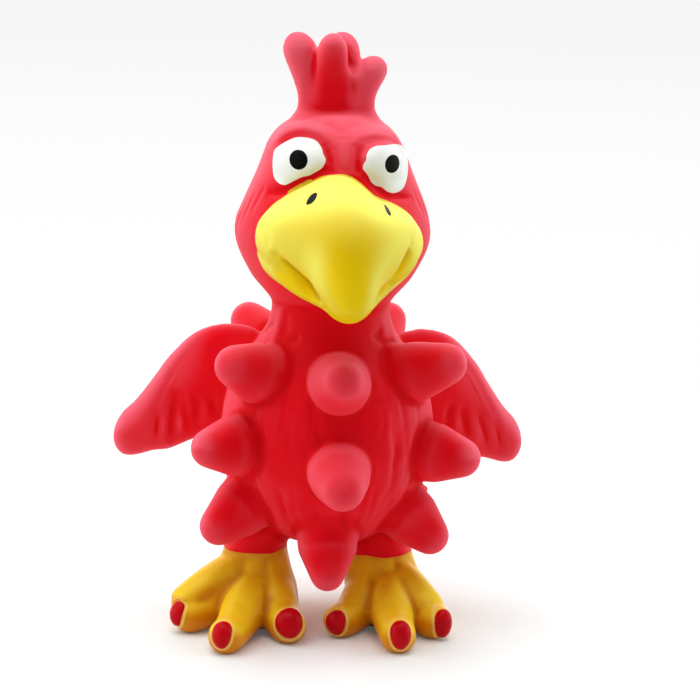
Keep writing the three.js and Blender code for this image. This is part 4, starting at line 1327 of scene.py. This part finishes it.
class Nodes:
    """The node tree of a material or a world, built by one method."""

    def __init__(self, name, kind="materials"):
        self.owner = getattr(bpy.data, kind).new(name)
        self.owner.use_nodes = True
        self.tree = self.owner.node_tree
        self.tree.nodes.clear()

    def node(self, kind, settings=None, inputs=None, output=0):
        made = self.tree.nodes.new(kind)
        for key, value in (settings or {}).items():
            setattr(made, key, value)
        for key, value in (inputs or {}).items():
            if isinstance(value, Value):
                self.tree.links.new(value.socket, made.inputs[key])
            else:
                made.inputs[key].default_value = value
        return Value(self, made.outputs[output])

    def mix(self, share, a, b):
        """Mixes two colours."""
        colour = [v if isinstance(v, Value) else (*v[:3], 1.0) for v in (a, b)]
        return self.node("ShaderNodeMix", {"data_type": "RGBA"},
                         {0: share, 6: colour[0], 7: colour[1]}, output=2)

    def noise(self, place, scale, detail=3.0, roughness=0.5):
        return self.node("ShaderNodeTexNoise", {},
                         {"Vector": place, "Scale": scale, "Detail": detail, "Roughness": roughness})

    def between(self, value, low, high):
        """0 below low, 1 above high, smooth between."""
        return self.node("ShaderNodeMapRange", {"interpolation_type": "SMOOTHSTEP"},
                         {"Value": value, "From Min": low, "From Max": high})

    def kept(self, name):
        """A value that the sculpt kept at each point."""
        return self.node("ShaderNodeAttribute", {"attribute_type": "GEOMETRY", "attribute_name": name},
                         output=2)

    def axis(self, place, k):
        """One of the three numbers of a place."""
        return self.node("ShaderNodeSeparateXYZ", {}, {"Vector": place}, output=k)

    def bump(self, height, strength, distance=0.0001):
        return self.node("ShaderNodeBump", {}, {"Strength": strength, "Distance": distance, "Height": height})

    def seen(self):
        """1 for what the camera sees, also in gloss or through something clear, and 0 for other light."""
        kinds = ("Is Camera Ray", "Is Glossy Ray", "Is Transmission Ray")
        rays = [self.node("ShaderNodeLightPath", output=kind) for kind in kinds]
        return (rays[0] + rays[1] + rays[2]).held()

    def surface(self, **inputs):
        bsdf = self.tree.nodes.new("ShaderNodeBsdfPrincipled")
        for key, value in inputs.items():
            socket = bsdf.inputs[key.replace("_", " ")]
            if isinstance(value, Value):
                self.tree.links.new(value.socket, socket)
            elif hasattr(value, "__len__") and len(value) == 3 and socket.type == "RGBA":
                socket.default_value = (*value, 1.0)
            else:
                socket.default_value = value
        return self.shown(Value(self, bsdf.outputs[0]))

    def shown(self, shader, kind="ShaderNodeOutputMaterial"):
        """Shows the shader, and returns the material or the world."""
        out = self.tree.nodes.new(kind)
        self.tree.links.new(shader.socket, out.inputs["Surface"])
        return self.owner


def made_once(build):
    """Keeps a material, so that every piece of one finish shares it."""
    kept = {}

    def get():
        if not kept:
            kept["material"] = build()
        return kept["material"]

    return get


def started(name):
    """A new material's nodes, the place on its piece, and the toy's colours."""
    n = Nodes(name)
    return n, n.node("ShaderNodeTexCoord", output=3), bpy.context.scene.toy_colours


@made_once
def red_latex():
    n, place, c = started("red_latex")
    crest, lift, facing = n.kept("crest"), n.kept("lift"), n.kept("facing")
    cloud = n.noise(place, 90, 3)
    fine = n.noise(place, 900, 4, 0.6)
    speck = n.noise(place, 520, 1)
    # Painted shade: the latex is painted darker in its creases
    deep = n.between(crest, 0.02, -0.4)
    # Painted highlight, a pale pink where light falls: where the latex turns away from the front, on crests, on
    # the wings' outer bars, on the comb's side lobes and the head's top, and on the tips of the spikes and wings,
    # less in creases
    away = n.between(facing, 0.92, 0.3) * (n.between(facing, -0.4, 0.25) * 0.75 + 0.25)
    away = away * (n.between(lift, -0.9, 0.4) * 0.75 + 0.25)
    highlight = away * 0.55 + n.between(crest, 0.08, 0.5) * 0.4
    x, z = n.axis(place, 0), n.axis(place, 2)
    aside = n.between(x, 0.0005, 0.006) + n.between(x, -0.0035, -0.009)
    bars = n.between(x, 0.030, 0.038) + n.between(x, -0.030, -0.038)
    highlight = highlight + bars * n.between(lift, -0.05, 0.4) * 0.5
    highlight = highlight + n.between(z, 0.134, 0.140) * aside * 0.5
    highlight = highlight + n.between(z, 0.117, 0.127) * n.between(lift, -0.05, 0.7) * 0.55
    highlight = highlight + (n.between(x, 0.034, 0.046) + n.between(x, -0.034, -0.046)) * 0.14
    highlight = highlight + (cloud - 0.5) * 0.25 - deep * 0.5
    # Random tone and the painted shade in the creases, under the painted highlight
    colour = n.mix(deep * 0.7, n.mix(cloud, tuple(v * 0.94 for v in c.latex), c.latex), c.latex_crease_shade)
    colour = n.mix(highlight.held(), colour, c.latex_painted_highlight)
    rough = 0.55 + (cloud - 0.5) * 0.12 + (fine - 0.5) * 0.1
    pits = n.between(speck, 0.72, 0.8)
    bump = n.bump(fine * 0.6 + cloud * 0.8 - pits * 0.6, 0.35)
    return n.surface(Base_Color=colour, Roughness=rough, Normal=bump, Sheen_Weight=0.25, Sheen_Roughness=0.3,
                     Sheen_Tint=(1.0, 0.35, 0.45), Subsurface_Weight=0.06,
                     Subsurface_Radius=(0.003, 0.0006, 0.0006),
                     Subsurface_Scale=0.6, Specular_IOR_Level=0.06)


@made_once
def paint_beak():
    n, place, c = started("beak_paint")
    crest, lift, facing = n.kept("crest"), n.kept("lift"), n.kept("facing")
    cloud = n.noise(place, 70, 3)
    fine = n.noise(place, 1100, 4)
    brush = n.noise(n.node("ShaderNodeMapping", {}, {"Vector": place, "Scale": (260, 260, 60)}), 1.0, 4)
    # Painted shade: a darker ochre in the creases, such as the mouth's hollows
    deep = n.between(crest, 0.0, -0.4)
    # Painted light: paler where the beak faces up and turns from the front, darker where it faces the front
    pale = n.between(facing, 0.95, 0.5) * n.between(lift, -0.75, 0.3) * 0.8 + n.between(lift, 0.3, 0.9) * 0.3
    colour = n.mix((pale + (cloud - 0.5) * 0.2).held(), c.beak, c.beak_painted_highlight)
    # Painted light: the beak's lower front is painted a brighter yellow
    height = n.axis(place, 2)
    tip = n.between(height, 0.110, 0.097) * n.between(facing, 0.6, 0.9)
    colour = n.mix(tip * 0.8, colour, (0.98, 0.66, 0.003))
    colour = n.mix(deep * 0.9, colour, (0.60, 0.34, 0.002))
    rough = 0.46 + (brush - 0.5) * 0.12 + (cloud - 0.5) * 0.1
    bump = n.bump(brush * 0.6 + fine * 0.3 + cloud, 0.3)
    return n.surface(Base_Color=colour, Roughness=rough, Normal=bump, Subsurface_Weight=0.06,
                     Subsurface_Radius=(0.003, 0.002, 0.0005), Subsurface_Scale=0.5, Specular_IOR_Level=0.06)


@made_once
def paint_foot():
    n, place, c = started("foot_paint")
    crest, lift, facing = n.kept("crest"), n.kept("lift"), n.kept("facing")
    cloud = n.noise(place, 120, 4, 0.6)
    patch = n.noise(place, 260, 3)
    fine = n.noise(place, 1000, 4)
    # Thin paint in random patches where the latex shows through, and painted shade in the creases
    thin_paint_and_shade = n.between(crest, 0.08, -0.35) * 0.8 + n.between(cloud, 0.52, 0.8) * 0.3
    # Painted light: paler where the feet face up, where they turn from the front, and towards the top of the foot
    pale = n.between(lift, 0.0, 0.9) + n.between(facing, 0.8, 0.3) * n.between(lift, -0.5, 0.3) * 0.4
    z = n.axis(place, 2)
    pale = pale + n.between(z, 0.009, 0.018) * 0.3
    colour = n.mix((pale + (cloud - 0.5) * 0.4).held(), c.foot, c.foot_painted_highlight)
    colour = n.mix(thin_paint_and_shade.held(), colour, c.foot_thin_paint_and_shade)
    # Painted highlight along the raised lip round each toenail
    colour = n.mix(n.between(n.kept("lip"), 0.3, 0.9) * 0.7, colour, (0.95, 0.66, 0.17))
    rough = 0.36 + (patch - 0.5) * 0.2
    bump = n.bump(patch + fine * 0.3, 0.25)
    return n.surface(Base_Color=colour, Roughness=rough, Normal=bump, Specular_IOR_Level=0.14)


@made_once
def paint_nail():
    n, place, c = started("nail_paint")
    cloud = n.noise(place, 300, 3)
    colour = n.mix(cloud, tuple(v * 0.8 for v in c.nail), tuple(min(v * 1.25, 1) for v in c.nail))
    bump = n.bump(cloud, 0.3)
    return n.surface(Base_Color=colour, Roughness=0.24 + (cloud - 0.5) * 0.1, Normal=bump,
                     Specular_IOR_Level=0.06)


@made_once
def paint_white():
    n, place, c = started("eye_white_paint")
    cloud = n.noise(place, 130, 3)
    fine = n.noise(place, 900, 4)
    colour = n.mix(n.between(cloud, 0.45, 0.7) * 0.4, c.white, (0.74, 0.76, 0.68))
    bump = n.bump(cloud + fine * 0.3, 0.25)
    return n.surface(Base_Color=colour, Roughness=0.36 + (cloud - 0.5) * 0.12, Normal=bump)


@made_once
def paint_black():
    n, place, c = started("black_paint")
    cloud = n.noise(place, 500, 3)
    colour = n.mix(cloud, c.black, (0.004, 0.004, 0.0035))
    bump = n.bump(cloud, 0.2)
    return n.surface(Base_Color=colour, Roughness=0.3 + (cloud - 0.5) * 0.15, Normal=bump,
                     Specular_IOR_Level=0.03)


@made_once
def moulded_plastic():
    n, place, _ = started("squeaker_plastic")
    cloud = n.noise(place, 200, 3)
    fine = n.noise(place, 2500, 3)
    colour = n.mix(cloud, (0.78, 0.78, 0.75), (0.86, 0.86, 0.84))
    bump = n.bump(fine + cloud, 0.3, 0.00005)
    return n.surface(Base_Color=colour, Roughness=0.4 + (cloud - 0.5) * 0.1, Normal=bump)


@made_once
def reed_film():
    n, place, _ = started("reed_film")
    cloud = n.noise(place, 600, 2)
    colour = n.mix(cloud, (0.66, 0.74, 0.80), (0.78, 0.84, 0.88))
    return n.surface(Base_Color=colour, Roughness=0.2 + (cloud - 0.5) * 0.1)


@made_once
def polyester_fibre():
    n, place, _ = started("polyester_fibre")
    drawn = n.node("ShaderNodeMapping", {}, {"Vector": place, "Scale": (1800, 300, 900)})
    strands = n.noise(drawn, 1.0, 6, 0.7)
    lumps = n.noise(place, 160, 4)
    colour = n.mix(strands, (0.72, 0.72, 0.70), (0.9, 0.9, 0.88))
    bump = n.bump(strands + lumps, 0.8, 0.0006)
    return n.surface(Base_Color=colour, Roughness=0.95, Normal=bump, Sheen_Weight=0.5)


# ---------------------------------------------------------------- stage


class StageSettings(bpy.types.PropertyGroup):
    key_power: bpy.props.FloatProperty(
        name="Main light", description="Power of the light over the toy", default=7.2, unit="POWER")
    fill_power: bpy.props.FloatProperty(
        name="Side lights", description="Power of the lights at both sides", default=3.4, unit="POWER")
    surround: bpy.props.FloatProperty(
        name="Surround", description="Level of the even light from all sides", default=0.105)


# The camera, from the photograph's perspective
CAMERA_TURN = (-7, 12.5, 1.6)  # azimuth, elevation and roll, in degrees
CAMERA_DISTANCE = 600.0
PICTURE_RIGHT, PICTURE_HEIGHT = 5.4, 73.5  # where the picture's middle lies from the toy's axis
PHOTO_PIXELS = 700
PIXEL_SIZE = 0.264  # at the toy's axis
SENSOR = 36
# Lights: place and size in metres, and a share of the main light's or the side lights' power
LIGHTS = {
    "top_light": ((-0.05, 0.02, 0.78), 0.9, "key_power", 1),
    "left_light": ((-0.66, -0.02, 0.30), 0.8, "fill_power", 0.9),
    "right_light": ((0.66, 0.02, 0.28), 0.8, "fill_power", 0.85),
    "back_light": ((0.05, 0.75, 0.30), 0.9, "fill_power", 0.8),
}


class TOY_OT_stage(bpy.types.Operator):
    """Sets up the pale floor, the soft lights and the camera"""

    bl_idname = "toy.stage"
    bl_label = "Stage"

    def execute(self, context):
        scene, stage = context.scene, context.scene.toy_stage
        azimuth, elevation, roll = (math.radians(v) for v in CAMERA_TURN)
        back = Vector((math.sin(azimuth) * math.cos(elevation), -math.cos(azimuth) * math.cos(elevation),
                       math.sin(elevation)))
        right = Vector((math.cos(azimuth), math.sin(azimuth), 0))
        up = back.cross(right)
        right, up = right * math.cos(roll) + up * math.sin(roll), up * math.cos(roll) - right * math.sin(roll)
        aim = Vector((math.cos(azimuth) * PICTURE_RIGHT, math.sin(azimuth) * PICTURE_RIGHT + TOY_Y,
                      PICTURE_HEIGHT))
        m = Matrix((right, up, back)).transposed().to_4x4()
        m.translation = (aim + back * CAMERA_DISTANCE) * MM
        bpy.ops.object.camera_add()
        camera = context.object
        camera.name = "photo_camera"
        camera.matrix_world = m
        camera.data.sensor_width = SENSOR
        camera.data.lens = CAMERA_DISTANCE / PIXEL_SIZE / PHOTO_PIXELS * SENSOR
        camera.data.clip_start, camera.data.clip_end = 0.05, 20
        scene.camera = camera
        scene.view_settings.view_transform = "Standard"

        bpy.ops.mesh.primitive_plane_add(size=6, location=(0, 0, 0))
        floor = context.object
        floor.name = "floor"
        floor.data.materials.append(pale_floor())

        for name, (place, size, power, share) in LIGHTS.items():
            bpy.ops.object.light_add(type="AREA", location=place)
            light = context.object
            light.name = name
            light.data.size = size
            light.data.energy = getattr(stage, power) * share
            light.rotation_euler = (Vector((0, 0, 0.07)) - Vector(place)).to_track_quat("-Z", "Y").to_euler()
            light.visible_camera = False

        n = Nodes("white_surround", "worlds")
        level = n.node("ShaderNodeMapRange", {}, {"Value": n.seen(), "To Min": stage.surround, "To Max": 1.0})
        background = n.node("ShaderNodeBackground", {}, {"Color": (0.92, 0.92, 0.92, 1), "Strength": level})
        scene.world = n.shown(background, "ShaderNodeOutputWorld")
        return {"FINISHED"}


@made_once
def pale_floor():
    """White away from the toy, and a matt floor that takes its shadow near it."""
    n, place, _ = started("pale_floor")
    away = n.node("ShaderNodeVectorMath", {"operation": "LENGTH"}, {0: place}, output=1)
    far = n.between(away, 0.09, 0.34)
    diffuse = n.node("ShaderNodeBsdfDiffuse", {}, {"Color": (0.885, 0.975, 0.965, 1)})
    colour = n.mix(n.between(away, 0.4, 2.2), (1, 1, 1), (0.92, 0.92, 0.92))
    white = n.node("ShaderNodeEmission", {}, {"Color": colour, "Strength": 1.0})
    return n.shown(n.node("ShaderNodeMixShader", {}, {0: n.seen() * (0.06 + far * 0.94), 1: diffuse, 2: white}))


# ---------------------------------------------------------------- panel and running


STEPS = ["moulding", "feet", "nails", "head", "beak", "nostrils", "eyes", "comb",
         "wings", "body", "inside", "stage"]


class TOY_PT_panel(bpy.types.Panel):
    bl_label = "Squeaky rooster"
    bl_idname = "TOY_PT_panel"
    bl_space_type = "VIEW_3D"
    bl_region_type = "UI"
    bl_category = "Rooster"

    def draw(self, context):
        for group in (context.scene.toy_sizes, context.scene.toy_colours, context.scene.toy_stage):
            box = self.layout.box()
            for name in group.__annotations__:
                box.prop(group, name)
        for step in STEPS:
            self.layout.operator(f"toy.{step}")


CLASSES = [
    ToySizes, ToyColours, StageSettings, TOY_OT_moulding, TOY_OT_feet, TOY_OT_nails, TOY_OT_head, TOY_OT_beak,
    TOY_OT_nostrils, TOY_OT_eyes, TOY_OT_comb, TOY_OT_wings, TOY_OT_body, TOY_OT_inside, TOY_OT_stage,
    TOY_PT_panel,
]


def register():
    for cls in CLASSES:
        bpy.utils.register_class(cls)
    bpy.types.Scene.toy_sizes = bpy.props.PointerProperty(type=ToySizes)
    bpy.types.Scene.toy_colours = bpy.props.PointerProperty(type=ToyColours)
    bpy.types.Scene.toy_stage = bpy.props.PointerProperty(type=StageSettings)


def unregister():
    del bpy.types.Scene.toy_sizes, bpy.types.Scene.toy_colours, bpy.types.Scene.toy_stage
    for cls in reversed(CLASSES):
        bpy.utils.unregister_class(cls)


def main():
    register()
    for step in STEPS:
        getattr(bpy.ops.toy, step)()


if __name__ == "__main__":
    main()
